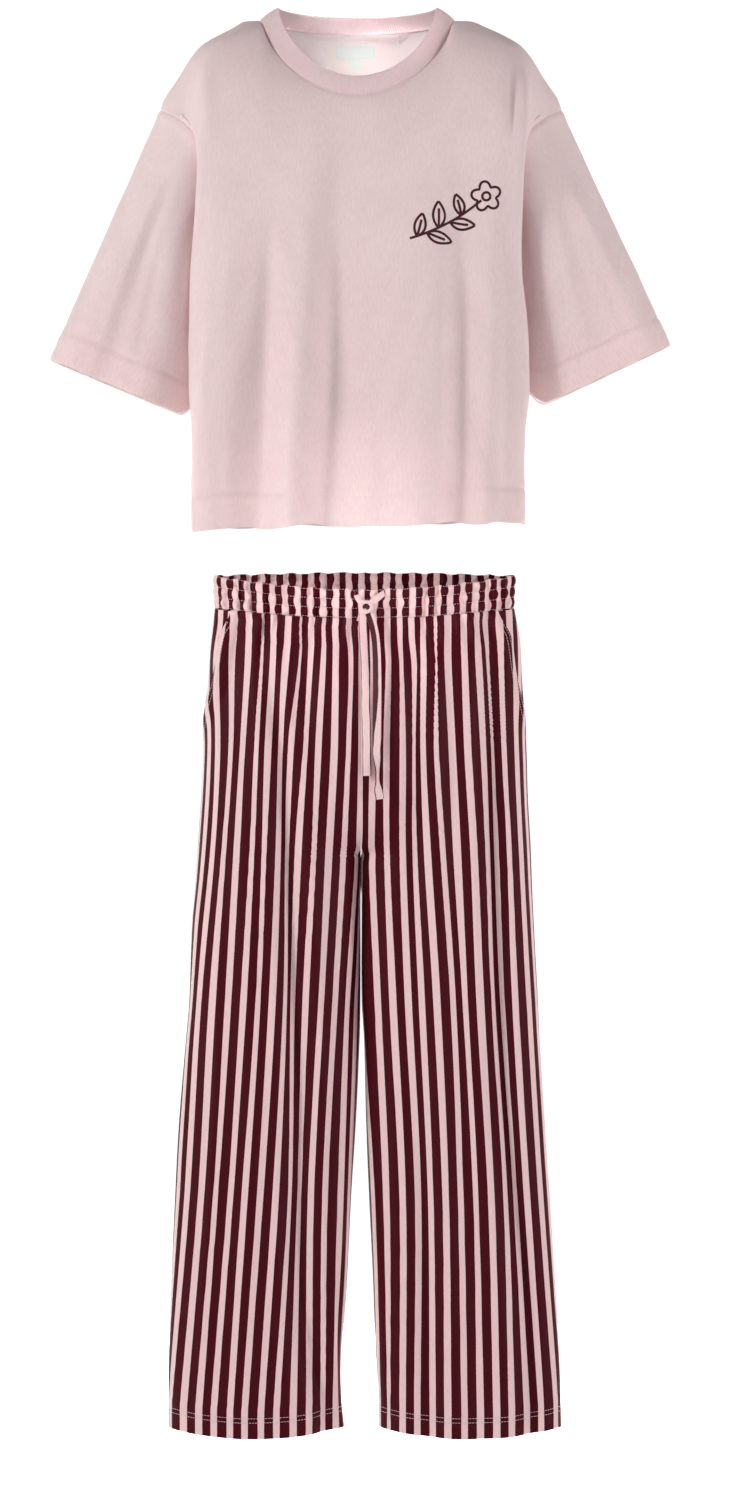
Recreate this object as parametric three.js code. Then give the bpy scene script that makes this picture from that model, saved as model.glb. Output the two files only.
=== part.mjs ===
// A pyjama set: a wide half-sleeved tee above a pair of wide striped trousers, each filled out as when worn.
// Millimetres, +Z up, front facing -Y. The origin is the middle of the tee's shoulder line.
// "left" and "right" are the wearer's, so the left side is at +X.
import * as THREE from "three";

// Cloth and seams
const JERSEY = 1.8; // wall of the tee
const RIB = 2.4; // wall of the neckband
const TWILL = 1.5; // wall of the trouser legs
const BAND = 2.6; // wall of the gathered waistband
const SEAM = 0.3; // between two pieces at a seam

// Tee
const TEE_TIP_Z = -103; // shoulder seam at the armhole
const TEE_NECK = { x: -4.6, half: 111, front: 78, back: 56, rise: 1, frontDrop: 92.7, backDrop: 10.3 };
const NECKBAND = { x: -4.2, half: 93, front: 71, back: 51, rise: 17, frontDrop: 87, backDrop: 7.4 };
const ARM_COLUMNS = 6; // columns of each panel along half the armhole, the shoulder and half the neck
const SHOULDER_COLUMNS = 5;
const NECK_COLUMNS = 5;
const TEE_COLUMNS = 2 * (ARM_COLUMNS + SHOULDER_COLUMNS + NECK_COLUMNS);
const TEE_JOIN_Z = -300; // the chest ring, below which front and back share closed sections

// Trousers
const WAIST = { middle: 4, half: 176.5, topZ: -648, height: 37.5, topDrop: 17, bottomDrop: 13, backRise: 4.5 };
const WAVES = 50; // gathers round the elastic
const HEM_Z = -1643;
const HEM_DIP = 11; // the hem hangs this much lower at the middle of each leg
const RISE = { top: -884, crotch: -975, calm: -1085 };
const POCKET = { topZ: -690, endZ: -850, width: 33 };
const LEG_COLUMNS = 20; // in each quarter

// Value of every column of a table at a key, smooth between its rows.
function lookUp(rows, key) {
  const last = rows.length - 1;
  const way = Math.sign(rows[last][0] - rows[0][0]);
  if ((key - rows[0][0]) * way <= 0) return rows[0].slice(1);
  if ((key - rows[last][0]) * way >= 0) return rows[last].slice(1);
  let i = 0;
  while ((key - rows[i + 1][0]) * way > 0) i++;
  const step = rows[i + 1][0] - rows[i][0];
  const t = (key - rows[i][0]) / step;
  const slope = (k, c) => {
    const a = rows[Math.max(k - 1, 0)];
    const b = rows[Math.min(k + 1, last)];
    return (b[c] - a[c]) / (b[0] - a[0]);
  };
  return rows[i].slice(1).map((value, c) => {
    const next = rows[i + 1][c + 1];
    return hermite(value, next, slope(i, c + 1) * step, slope(i + 1, c + 1) * step, t);
  });
}

function hermite(a, b, da, db, t) {
  const t2 = t * t;
  const t3 = t2 * t;
  return a * (2 * t3 - 3 * t2 + 1) + b * (3 * t2 - 2 * t3) + da * (t3 - 2 * t2 + t) + db * (t3 - t2);
}

const ease = (from, to, value) => {
  const t = Math.min(Math.max((value - from) / (to - from), 0), 1);
  return t * t * (3 - 2 * t);
};
const power = (value, exponent) => Math.sign(value) * Math.abs(value) ** exponent;
const bell = (distance, width) => Math.exp(-((distance / width) ** 2));
const blend = (a, b, t) => a.map((value, i) => value + (b[i] - value) * t);
const distance = (a, b) => Math.hypot(...a.map((value, i) => value - b[i]));

// Points at the given shares of a polyline's length.
function resample(points, shares) {
  const run = [0];
  for (let i = 1; i < points.length; i++) run.push(run[i - 1] + distance(points[i - 1], points[i]));
  let i = 0;
  return shares.map((share) => {
    const length = share * run[run.length - 1];
    while (i < points.length - 2 && run[i + 1] < length) i++;
    return blend(points[i], points[i + 1], (length - run[i]) / (run[i + 1] - run[i] || 1));
  });
}

const evenly = (count) => Array.from({ length: count + 1 }, (_, i) => i / count);

// Unit normals of a grid of points; ring joins each row's end to its start, and a flip turns them round.
function normalsOf(grid, ring, flip) {
  const rows = grid.length;
  const columns = grid[0].length;
  return grid.map((row, r) =>
    row.map((_, c) => {
      const before = ring ? (c - 1 + columns) % columns : Math.max(c - 1, 0);
      const after = ring ? (c + 1) % columns : Math.min(c + 1, columns - 1);
      const across = new THREE.Vector3(...row[after]).sub(new THREE.Vector3(...row[before]));
      const up = new THREE.Vector3(...grid[Math.max(r - 1, 0)][c]);
      const down = new THREE.Vector3(...grid[Math.min(r + 1, rows - 1)][c]).sub(up);
      const normal = across.cross(down).normalize().multiplyScalar(flip);
      return normal.toArray();
    }),
  );
}

const moved = (grid, normals, by) =>
  grid.map((row, r) =>
    row.map((point, c) => {
      const length = typeof by === "number" ? by : by(point, r, c);
      return point.map((value, i) => value + normals[r][c][i] * length);
    }),
  );

// A closed wall between an outer and an inner grid, as a mesh geometry with its faces pointing out.
function wall(outer, inner, ring = false) {
  const rows = outer.length;
  const columns = outer[0].length;
  const points = [...outer.flat(), ...inner.flat()];
  const inside = rows * columns;
  const faces = [];
  const quad = (a, b, c, d) => faces.push(a, b, c, a, c, d);
  const at = (r, c) => r * columns + (c % columns);
  const steps = ring ? columns : columns - 1;
  for (let r = 0; r < rows - 1; r++) {
    for (let c = 0; c < steps; c++) {
      quad(at(r, c), at(r + 1, c), at(r + 1, c + 1), at(r, c + 1));
      quad(inside + at(r, c), inside + at(r, c + 1), inside + at(r + 1, c + 1), inside + at(r + 1, c));
    }
  }
  for (let c = 0; c < steps; c++) {
    quad(at(0, c), at(0, c + 1), inside + at(0, c + 1), inside + at(0, c));
    const r = rows - 1;
    quad(at(r, c + 1), at(r, c), inside + at(r, c), inside + at(r, c + 1));
  }
  if (!ring) {
    for (let r = 0; r < rows - 1; r++) {
      const c = columns - 1;
      quad(at(r + 1, 0), at(r, 0), inside + at(r, 0), inside + at(r + 1, 0));
      quad(at(r, c), at(r + 1, c), inside + at(r + 1, c), inside + at(r, c));
    }
  }
  return closed(points, faces);
}

function closed(points, faces) {
  let volume = 0;
  for (let i = 0; i < faces.length; i += 3) {
    const [a, b, c] = [0, 1, 2].map((k) => new THREE.Vector3(...points[faces[i + k]]));
    volume += a.dot(b.cross(c));
  }
  if (volume < 0) faces.reverse();
  const geometry = new THREE.BufferGeometry();
  geometry.setAttribute("position", new THREE.Float32BufferAttribute(points.flat(), 3));
  geometry.setIndex(faces);
  geometry.computeVertexNormals();
  return geometry;
}

const cloth = (colour, roughness) => new THREE.MeshStandardMaterial({ color: colour, roughness, metalness: 0 });
const blush = cloth(0xe2cccc, 0.92);
const ribKnit = cloth(0xdcc4c4, 0.94);
const stripe = cloth(0x9a5f6c, 0.7);
const cotton = cloth(0xf1eeec, 0.85);
const tie = cloth(0xe8cdd2, 0.75);

const set = new THREE.Group();
function add(name, geometry, material) {
  const mesh = new THREE.Mesh(geometry, material);
  mesh.name = name;
  set.add(mesh);
  return mesh;
}

// ---- The tee ----

// The body's closed sections: half width before the side groove, depths from the side seams, squareness,
// and how far the side is drawn in behind its front and back ridges, under the sleeve.
const TEE_SECTIONS = [
  // z, centre x, half width, front depth, back depth, exponent, groove share, groove width
  [-300, -6, 219, 102, 92, 3.0, 0.26, 48],
  [-380, -4.5, 220, 101, 92, 3.0, 0.25, 46],
  [-430, -4, 216, 99, 91, 2.9, 0.2, 42],
  [-480, -4, 203, 97, 90, 2.7, 0.08, 36],
  [-530, -4, 194, 96, 90, 2.6, 0, 36],
  [-597, -3, 194, 96, 91, 2.6, 0, 36],
];
const BACK_HEM_LIFT = 7; // the back of the hem is this much higher
const HEM_RISE = 9; // and the wearer's left end is this much higher than the right one

// Soft vertical folds of the body: ridges stand out and grooves go in.
const TEE_FOLDS = [
  // x and z of the top, x and z of the bottom, height, width
  [-80, -150, -104, -530, 5, 24],
  [-39, -190, -58, -600, -11, 17],
  [-137, -330, -141, -600, -7, 20],
  [-188, -330, -186, -600, 4, 14],
  [8, -260, -8, -600, 3, 14],
  [52, -300, 46, -600, 6, 26],
  [112, -180, 104, -600, -8, 17],
  [140, -250, 137, -600, 5, 15],
  [160, -170, 158, -600, -5, 11],
];
const TEE_BACK_FOLDS = [
  [-120, -170, -138, -600, 6, 24],
  [-70, -240, -84, -600, -8, 19],
  [-10, -200, -22, -600, 5, 26],
  [38, -280, 34, -600, -9, 18],
  [88, -190, 97, -600, 6, 21],
  [142, -300, 148, -600, -6, 17],
];
// Short folds on the shoulder caps.
const CAP_FOLDS = [
  [-196, -48, -214, -122, -5, 9],
  [178, -48, 176, -150, -8, 8],
  [-178, -60, -176, -160, 4, 9],
  [190, -50, 187, -150, 5, 9],
];

function foldHeight(folds, x, z) {
  let height = 0;
  for (const [x0, z0, x1, z1, high, wide] of folds) {
    const t = (z - z0) / (z1 - z0);
    const swell = ease(-0.12, 0.45, t) * (z1 < -500 ? 1 : 1 - ease(0.6, 1.15, t));
    height += high * swell * bell(x - (x0 + (x1 - x0) * t), wide);
  }
  return height;
}

// Front or back half of a tee section, from the right side seam to the left one.
function teeHalf(z, side) {
  const [centre, half, front, back, exponent, groove, grooveWidth] = lookUp(TEE_SECTIONS, z);
  const depth = side < 0 ? front : back;
  return evenly(160).map((share) => {
    const angle = Math.PI * share;
    const y = side * depth * Math.sin(angle) ** (2 / exponent);
    const x = -half * power(Math.cos(angle), 2 / exponent);
    return [centre + x * (1 - groove * bell(y, grooveWidth)), y, z];
  });
}

// The armhole from the underarm up to the shoulder tip, for the left side (mirrored for the right).
const ARMHOLE_FRONT = [
  [168, 0, -262],
  [169, -28, -247],
  [171, -50, -215],
  [176, -62, -178],
  [189, -62, -142],
  [212, -38, -117],
  [234.5, 0, TEE_TIP_Z],
];
const ARMHOLE_BACK = [
  [168, 0, -262],
  [169, 27, -246],
  [171, 47, -213],
  [177, 57, -176],
  [190, 57, -142],
  [213, 36, -118],
  [234.5, 0, TEE_TIP_Z],
];
// The shoulder seam from the tip up to the neck: x, then z.
const SHOULDER = [
  [234.5, TEE_TIP_Z],
  [230.5, -91],
  [215, -68],
  [199, -42],
  [187, -28],
  [167, -16],
  [145, -6],
  [131, 0],
  [110, 1],
];

const smoothLine = (points, count) =>
  new THREE.CatmullRomCurve3(points.map((p) => new THREE.Vector3(...p)), false, "centripetal")
    .getPoints(count)
    .map((p) => p.toArray());

// A point of the neckline or of the band on it: turn 0 is the wearer's left, -90 degrees the front.
function neckPoint(neck, turn) {
  const side = Math.sin(turn) < 0 ? "front" : "back";
  const depth = neck[side];
  const drop = neck[side + "Drop"];
  const deep = Math.abs(Math.sin(turn));
  return [neck.x + neck.half * Math.cos(turn), Math.sin(turn) * depth, neck.rise - drop * deep ** 1.25];
}

// The upper edge of the front or back panel from the right underarm over both shoulders to the left one.
function teeEdge(side) {
  const arm = smoothLine(side < 0 ? ARMHOLE_FRONT : ARMHOLE_BACK, 60);
  const shoulder = smoothLine(SHOULDER.map(([x, z]) => [x, side * SEAM * 0.5, z]), 60);
  const neck = evenly(60).map((share) => neckPoint(TEE_NECK, side * share * Math.PI * 0.5));
  neck[0][1] = side * SEAM * 0.5;
  const counts = [ARM_COLUMNS, SHOULDER_COLUMNS, NECK_COLUMNS];
  const half = [arm, shoulder, neck].flatMap((line, i) => resample(line, evenly(counts[i])).slice(i ? 1 : 0));
  half[ARM_COLUMNS][1] = side * SEAM * 0.5;
  const right = half.map(([x, y, z]) => [2 * TEE_NECK.x * ease(165, 112, x) - x, y, z]);
  right[right.length - 1] = half[half.length - 1];
  return [...right, ...half.slice(0, -1).reverse()];
}

// Where each upper column passes the top of the chest: its place along the edge, then x, depth and z.
const YOKE = [
  [3, 186, 71, -176],
  [4, 189, 76, -170],
  [5, 190, 80, -165],
  [6, 190, 83, -161],
  [7, 186, 87, -157],
  [8, 176, 91, -154],
  [9, 158, 94, -152],
  [10, 136, 96, -151],
  [11, 112, 97, -151],
  [13.5, 58, 98, -153],
  [16, -5, 98, -154],
];
const QUARTER_TURNS = [0, 24, 47, 69, 90].map(THREE.MathUtils.degToRad);
const CHEST_STEPS = [0.36, 0.68, 1];
const ARM_STEPS = [0, 0.1, 0.2, 0.3, 0.42, 0.6, 0.8, 1];
const LOWER_Z = [-348, -396, -440, -486, -532, -570, -597];

function teeColumn(start, chest, fall, place, side) {
  if (place < 3) {
    const leave = [[0, 0, -1], [0.1, 0.15, -0.95], [0.25, 0.45, -0.85]][place];
    const span = distance(start, chest);
    const away = [Math.sign(start[0]) * leave[0], side * leave[1], leave[2]];
    return ARM_STEPS.map((t) => start.map((v, i) => hermite(v, chest[i], away[i] * span * 0.8, fall[i] * span * 0.9, t)));
  }
  const [x, depth, z] = lookUp(YOKE, place);
  const yoke = [start[0] < TEE_NECK.x ? 2 * TEE_NECK.x * ease(170, 60, x) - x : x, side * (side < 0 ? depth : depth * 0.9), z];
  const rounded = 1 - 0.55 * ease(8.5, 13.5, place);
  const cap = QUARTER_TURNS.map((turn) => {
    const shares = [Math.sin(turn) ** 0.85, Math.sin(turn), 1 - Math.cos(turn)];
    const plain = turn / QUARTER_TURNS[4];
    return start.map((v, i) => v + (yoke[i] - v) * (plain + (shares[i] - plain) * rounded));
  });
  const span = distance(yoke, chest);
  const slope = [0, side * 0.13 * ease(7, 13, place), -1];
  const down = CHEST_STEPS.map((t) => yoke.map((v, i) => hermite(v, chest[i], slope[i] * span, fall[i] * span, t)));
  return [...cap, ...down];
}

function teeGrid(side) {
  const edge = teeEdge(side);
  const shares = evenly(TEE_COLUMNS);
  const chest = resample(teeHalf(TEE_JOIN_Z, side), shares);
  const under = resample(teeHalf(TEE_JOIN_Z - 20, side), shares);
  const columns = edge.map((start, c) => {
    const fall = under[c].map((value, i) => (value - chest[c][i]) / 20);
    return teeColumn(start, chest[c], fall, Math.min(c, TEE_COLUMNS - c), side);
  });
  const upper = columns[0].map((_, r) => columns.map((column) => column[r]));
  const lower = LOWER_Z.map((z) => {
    const rise = HEM_RISE * ease(-430, LOWER_Z[LOWER_Z.length - 1], z);
    return resample(teeHalf(z, side), shares).map(([x, y, level]) => [x, y, level + rise * (0.5 + x / 390)]);
  });
  return [...upper, ...lower];
}

function teePanel(side) {
  const flip = side;
  let grid = teeGrid(side);
  const folds = side < 0 ? [...TEE_FOLDS, ...CAP_FOLDS] : TEE_BACK_FOLDS;
  const settle = (c) => ease(0, 3, Math.min(c, TEE_COLUMNS - c));
  const plain = normalsOf(grid, false, flip);
  grid = moved(grid, plain, ([x, , z], r, c) => foldHeight(folds, x, z) * settle(c) * ease(0, 2, r));
  // the hem is a little lower under each ridge
  const last = grid.length - 1;
  grid[last] = grid[last].map(([x, y, z], c) => [
    x,
    y,
    z - foldHeight(folds, x, z) * 0.35 * settle(c) + (side > 0 ? BACK_HEM_LIFT * settle(c) : 0),
  ]);
  const normals = normalsOf(grid, false, flip);
  for (const row of normals) {
    // at the side seams both panels face straight out, and at the underarm's point to the front or back
    for (const c of [0, TEE_COLUMNS]) row[c] = row[c][0] === 0 ? [0, side, 0] : unit([row[c][0], 0, row[c][2]]);
  }
  // the shoulder seam's edge faces up, so that both panels' walls stay apart
  normals[0] = normals[0].map((normal, c) => {
    const [x, , z] = grid[0][c];
    const onShoulder = z > TEE_TIP_Z - 1 && Math.abs(x - TEE_NECK.x) > TEE_NECK.half - 2;
    return onShoulder ? unit([normal[0], 0, Math.max(normal[2], 0.3)]) : normal;
  });
  const gap = side * SEAM * 0.5;
  const shift = (row, r) =>
    row.map(([x, y, z], c) => [x, (c === 0 || c === TEE_COLUMNS) && r > 0 ? y + gap : y, z]);
  const outer = grid.map(shift);
  const inner = moved(grid, normals, -JERSEY).map(shift);
  return wall(outer, inner);
}

function unit(vector) {
  const length = Math.hypot(...vector) || 1;
  return vector.map((value) => value / length);
}

add("tee_front", teePanel(-1), blush);
add("tee_back", teePanel(1), blush);

// ---- The sleeves ----

const SLEEVE_ROWS = [0, 0.06, 0.16, 0.3, 0.46, 0.62, 0.78, 0.9, 1];
// The hem loop of each sleeve: its middle, half width, half depth, its rise outwards, and how far its inner end
// is drawn up beyond the lowest point, which lies at that share of the half width.
const SLEEVE_HEMS = {
  left: { x: 272, z: -421, half: 90, depth: 38, rise: 0.465, lift: 46, lowest: 0.6 },
  right: { x: 275, z: -433, half: 89, depth: 38, rise: 0.415, lift: 34, lowest: 0.68 },
};
const SLEEVE_START = 0.6; // between the armhole and the sleeve
const SLEEVE_FOLDS = [
  // share round the sleeve (0 is the shoulder tip, 0.25 the front), height, width
  [0.12, 4, 0.035],
  [0.2, -6, 0.035],
  [0.3, 5, 0.04],
  [0.68, 6, 0.05],
  [0.82, -6, 0.04],
];

// A loop's corners with the middle of each side between them.
const halved = (loop) => loop.flatMap((p, i) => [p, blend(p, loop[(i + 1) % loop.length], 0.5)]);

function sleeve(leftSide) {
  const hem = leftSide ? SLEEVE_HEMS.left : SLEEVE_HEMS.right;
  // the armhole from the tip down the front to the underarm and up the back
  const edges = [-1, 1].map((side) => {
    const edge = teeEdge(side);
    const arm = leftSide ? edge.slice(-ARM_COLUMNS - 1) : edge.slice(0, ARM_COLUMNS + 1).reverse();
    return arm.map(([x, y, z]) => [Math.abs(x), y, z]);
  });
  const [front, back] = edges;
  const corners = [...front, ...back.slice(1, -1).reverse()];
  corners[0] = [corners[0][0], 0, corners[0][2]];
  const loop = halved(corners);
  const columns = loop.length;
  let grid = SLEEVE_ROWS.map((t) =>
    loop.map((start, c) => {
      const turn = (c / columns) * 2 * Math.PI;
      const along = Math.cos(turn);
      const drawn = Math.max(-hem.lowest - along, 0) / (1 - hem.lowest);
      const end = [
        hem.x + along * hem.half,
        -Math.sin(turn) * hem.depth,
        hem.z + along * hem.half * hem.rise + hem.lift * drawn ** 1.5,
      ];
      const low = 0.5 - 0.5 * along;
      const span = distance(start, end);
      const leave = unit(blend([0.41, 0, -0.91], [0.9, 0, -0.3], ease(0, 0.7, low)));
      const from = start.map((value, i) => value + leave[i] * SLEEVE_START);
      const reach = span * (1 - 0.45 * low);
      return from.map((value, i) => hermite(value, end[i], leave[i] * reach, [0.4, 0, -0.91][i] * span, t));
    }),
  );
  const plain = normalsOf(grid, true, 1);
  grid = moved(grid, plain, (_, r, c) => {
    const share = c / columns;
    const swell = ease(0, 0.5, SLEEVE_ROWS[r]);
    return SLEEVE_FOLDS.reduce((sum, [at, high, wide]) => sum + high * swell * bell(share - at, wide), 0);
  });
  const inner = moved(grid, normalsOf(grid, true, 1), -JERSEY);
  const turned = (g) => g.map((row) => row.map(([x, y, z]) => [leftSide ? x : -x, y, z]));
  return wall(turned(grid), turned(inner), true);
}

add("sleeve_left", sleeve(true), blush);
add("sleeve_right", sleeve(false), blush);

// ---- The neckband and what is sewn inside the back neck ----

function neckRing() {
  // round the panels' neck edge from the wearer's left over the back
  const first = ARM_COLUMNS + SHOULDER_COLUMNS;
  const [front, back] = [-1, 1].map((side) => teeEdge(side).slice(first, first + 2 * NECK_COLUMNS + 1));
  const loop = halved([...back.reverse(), ...front.slice(1, -1)]);
  const rows = [0, 0.5, 1];
  const grid = rows.map((t) =>
    loop.map((low) => {
      const depth = low[1] < 0 ? TEE_NECK.front : TEE_NECK.back;
      const turn = Math.atan2(low[1] / depth, (low[0] - TEE_NECK.x) / TEE_NECK.half);
      const high = neckPoint(NECKBAND, turn);
      const start = blend(low, high, 0.7 / distance(low, high));
      const point = blend(start, high, t);
      const bulge = 2.2 * Math.sin(Math.PI * t);
      return [point[0] + Math.cos(turn) * bulge, point[1] + Math.sin(turn) * bulge, point[2]];
    }),
  );
  return wall(grid, moved(grid, normalsOf(grid, true, 1), -RIB), true);
}

add("neckband", neckRing(), ribKnit);

// The back panel's outer surface near the neck: its depth at a place given by x and z.
const backGrid = teeGrid(1);
function backDepth(x, z) {
  const near = evenly(14).map((_, i) => {
    const column = backGrid.slice(0, 6).map((row) => row[ARM_COLUMNS + SHOULDER_COLUMNS - 2 + i]);
    let r = 0;
    while (r < 4 && column[r + 1][2] > z) r++;
    return blend(column[r], column[r + 1], (z - column[r][2]) / (column[r + 1][2] - column[r][2]));
  });
  let i = 0;
  while (i < 13 && near[i + 1][0] < x) i++;
  return blend(near[i], near[i + 1], (x - near[i][0]) / (near[i + 1][0] - near[i][0]))[1];
}

// A strip sewn on the inside of the back panel: its top and bottom lie at set drops below the neck seam.
function innerStrip(from, to, topDrop, bottomDrop, off, thick, columns) {
  const grid = (extra) =>
    [0, 0.5, 1].map((t) =>
      evenly(columns).map((share) => {
        const x = from + (to - from) * share;
        const turn = Math.acos((x - TEE_NECK.x) / TEE_NECK.half);
        const z = neckPoint(TEE_NECK, turn)[2] - topDrop - (bottomDrop - topDrop) * t;
        return [x, backDepth(x, z) - JERSEY - 0.5 - off - extra, z];
      }),
    );
  return wall(grid(0), grid(thick));
}

const TAPE = 1;
const LABEL = 0.9;
const TAB = 0.7;
add("neck_tape", innerStrip(-64, 54, 1, 8, 0.4, TAPE, 14), blush);
add("hanging_loop", innerStrip(32, 44, 2, 12, 0.4 + TAPE + SEAM, 1, 3), blush);
add("size_tab", innerStrip(-15, 1, 27, 41, 0, TAB, 2), cotton);
add("neck_label", innerStrip(-31, 17, 13, 29, TAB + SEAM, LABEL, 6), cotton);

// ---- The trousers ----

// The hips: one closed section in four quarters, from the waist seam down to the crotch.
const HIP_SECTIONS = [
  // z, centre x, half width, front depth, back depth, exponent
  [-684, 4, 175, 46, 44, 2.25],
  [-723, 5, 181, 62, 62, 2.2],
  [-770, 4.7, 183.7, 72, 76, 2.2],
  [-817, 4, 188, 76, 84, 2.2],
  [-864, 4.6, 189.6, 77, 86, 2.2],
  [-910, 4, 191.3, 76, 84, 2.2],
  [-975, 3.5, 195, 72, 77, 2.2],
  [-1090, 3.5, 201, 64, 66, 2.2],
];
// Each leg: the inner and outer edges of its flattened tube, and its depths.
const LEG_SECTIONS = [
  // z, right outer x, right inner x, left inner x, left outer x, front depth, back depth, exponent
  [-884, -187, -0.6, 0.6, 195, 68, 76, 2.2],
  [-957, -191, -0.6, 0.6, 199, 65, 71, 2.2],
  [-1004, -194, -0.7, 0.7, 200, 62, 66, 2.2],
  [-1051, -198, -0.7, 0.7, 202, 58, 61, 2.2],
  [-1144, -201, -0.8, 0.8, 207, 53, 54, 2.2],
  [-1191, -205, -1.6, 3.5, 209, 50, 50, 2.2],
  [-1285, -213, -5.8, 5.8, 215, 48, 48, 2.2],
  [-1378, -218, -11.7, 9.4, 221, 47, 46, 2.2],
  [-1472, -222, -16.4, 14, 227, 46, 45, 2.2],
  [-1565, -225.5, -23, 17.5, 233, 45, 44, 2.25],
  [-1612, -225, -22.5, 20.5, 234, 45, 44, 2.3],
  [HEM_Z, -225.5, -19, 20, 235, 45, 44, 2.3],
];
// Long folds of the legs: the x of the fold at heights down the leg, then its height and width.
const FOLD_Z = [-700, -780, -864, -969, -1086, -1261, -1378, -1495, -1620];
const FRONT_FOLDS = [
  // right leg
  { x: [-112, -104, -90, -84, -78, -70, -71, -67, -40], high: [-3, -6, -9, -12, -13, -12, -12, -11, -8], wide: 12 },
  { x: [-98, -96, -70, -60, -55, -46, -46, -42, -20], high: [3, 4, 5, 6, 6, 6, 6, 5, 4], wide: 13 },
  { x: [-66, -66, -64, -60, -50, -40, -34, -30, -28], high: [-4, -5, -3, 0, 0, 0, -2, -4, -5], wide: 12 },
  { x: [-150, -146, -140, -136, -132, -128, -130, -134, -140], high: [-3, -4, -2, 2, 4, 5, 5, 5, 4], wide: 16 },
  // left leg
  { x: [145, 147, 149, 151, 156, 166, 179, 193, 199], high: [-4, -6, -9, -11, -12, -12, -12, -10, -8], wide: 12 },
  { x: [128, 130, 130, 130, 132, 138, 148, 160, 170], high: [3, 4, 5, 6, 6, 6, 6, 5, 4], wide: 14 },
  { x: [66, 64, 65, 62, 58, 62, 72, 76, 76], high: [-4, -5, -5, -5, -2, -2, -6, -7, -6], wide: 12 },
  { x: [90, 88, 88, 88, 88, 92, 98, 104, 108], high: [2, 3, 4, 5, 5, 5, 5, 5, 5], wide: 13 },
];
const BACK_FOLDS = [
  { x: [-130, -124, -118, -112, -110, -112, -118, -124, -126], high: [-3, -6, -9, -11, -12, -12, -11, -10, -8], wide: 12 },
  { x: [-70, -68, -66, -64, -60, -58, -60, -62, -64], high: [3, 4, 6, 7, 6, 5, 6, 6, 6], wide: 16 },
  { x: [118, 114, 110, 106, 104, 108, 114, 120, 124], high: [-4, -6, -8, -10, -12, -12, -11, -9, -8], wide: 12 },
  { x: [60, 60, 62, 64, 66, 70, 74, 76, 76], high: [3, 4, 5, 7, 7, 6, 6, 6, 5], wide: 15 },
];
const LEG_Z = [
  -686, -702, -730, -770, -812, -850, -884, -918, -946, -965, -975, -1010, -1080, -1220, -1340, -1460, -1570, HEM_Z,
];

function legFolds(folds, x, z) {
  let height = 0;
  for (const fold of folds) {
    const rows = FOLD_Z.map((key, i) => [key, fold.x[i], fold.high[i]]);
    const [middle, high] = lookUp(rows, z);
    height += high * bell(x - middle, fold.wide);
  }
  return height;
}

// One quarter of a trouser row as a polyline from the centre seam or inseam to the side seam.
function legQuarter(z, leg, side) {
  const [centre, half, hipFront, hipBack, hipExponent] = lookUp(HIP_SECTIONS, z);
  const [rightOut, rightIn, leftIn, leftOut, front, back, exponent] = lookUp(LEG_SECTIONS, z);
  const drop = Math.min(Math.max((RISE.top - z) / (RISE.top - RISE.crotch), 0), 1);
  // at the centre seam the hips end in the crotch curve; away from it they pass slowly into the leg
  const hipAtSeam = Math.sqrt(1 - drop * drop);
  const hipAway = 1 - ease(-840, -1085, z);
  const inner = leg > 0 ? leftIn : rightIn;
  const outer = leg > 0 ? leftOut : rightOut;
  const middle = (inner + outer) / 2;
  const wide = Math.abs(outer - inner) / 2;
  const depth = side < 0 ? front : back;
  const hipDepth = side < 0 ? hipFront : hipBack;
  return evenly(120).map((share) => {
    const quarter = share * Math.PI * 0.5;
    const turn = share * Math.PI;
    const onHip = [
      leg * (0.4 + (half + leg * centre - 0.4) * Math.sin(quarter) ** (2 / hipExponent)),
      side * hipDepth * Math.cos(quarter) ** (2 / hipExponent),
    ];
    const legY = side * depth * Math.abs(Math.sin(turn)) ** (2 / exponent);
    const slanted = gapSlant(z) * legY * (1 - ease(0, 0.6, share));
    const onLeg = [middle - leg * wide * power(Math.cos(turn), 2 / exponent) + slanted, legY];
    return blend(onLeg, onHip, hipAtSeam + (hipAway - hipAtSeam) * ease(0, 0.42, share));
  });
}

// The waist hangs lower in the middle of the front than at the sides, and its back stands a little higher.
function waistSag(x, y, z) {
  const across = Math.max(1 - ((x - WAIST.middle) / 178) ** 2, 0) * ease(0, 14, Math.abs(y));
  const drop = WAIST.topDrop + (WAIST.bottomDrop - WAIST.topDrop) * ease(WAIST.topZ, WAIST.topZ - WAIST.height, z);
  return (y < 0 ? -drop : WAIST.backRise) * across * (1 - ease(-700, -800, z));
}

// How far round a row, from the centre to the side, the front panel's cloth reaches at the pocket mouth.
function pocketShare(z, length) {
  const open = 1 - ease(0, 1, (POCKET.topZ - z) / (POCKET.topZ - POCKET.endZ)) ** 4;
  return 1 - (z < POCKET.endZ ? 0 : (open * POCKET.width) / length);
}

const polylineLength = (line) => line.slice(1).reduce((sum, point, i) => sum + distance(point, line[i]), 0);

// Columns keep an even distance from the side seam through the crotch, and only those near the seam stretch.
function evenReach(z, length, leg, side) {
  if (z >= RISE.top || z <= RISE.calm) return evenly(LEG_COLUMNS);
  const ends = [RISE.top, RISE.calm].map((level) => polylineLength(legQuarter(level, leg, side)));
  const usual = ends[0] + (ends[1] - ends[0]) * ease(RISE.top, RISE.calm, z);
  return evenly(LEG_COLUMNS).map((share) => {
    const fromSide = (1 - share) * usual + (length - usual) * Math.max(1 - share / 0.45, 0) ** 2;
    return 1 - fromSide / length;
  });
}

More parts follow.
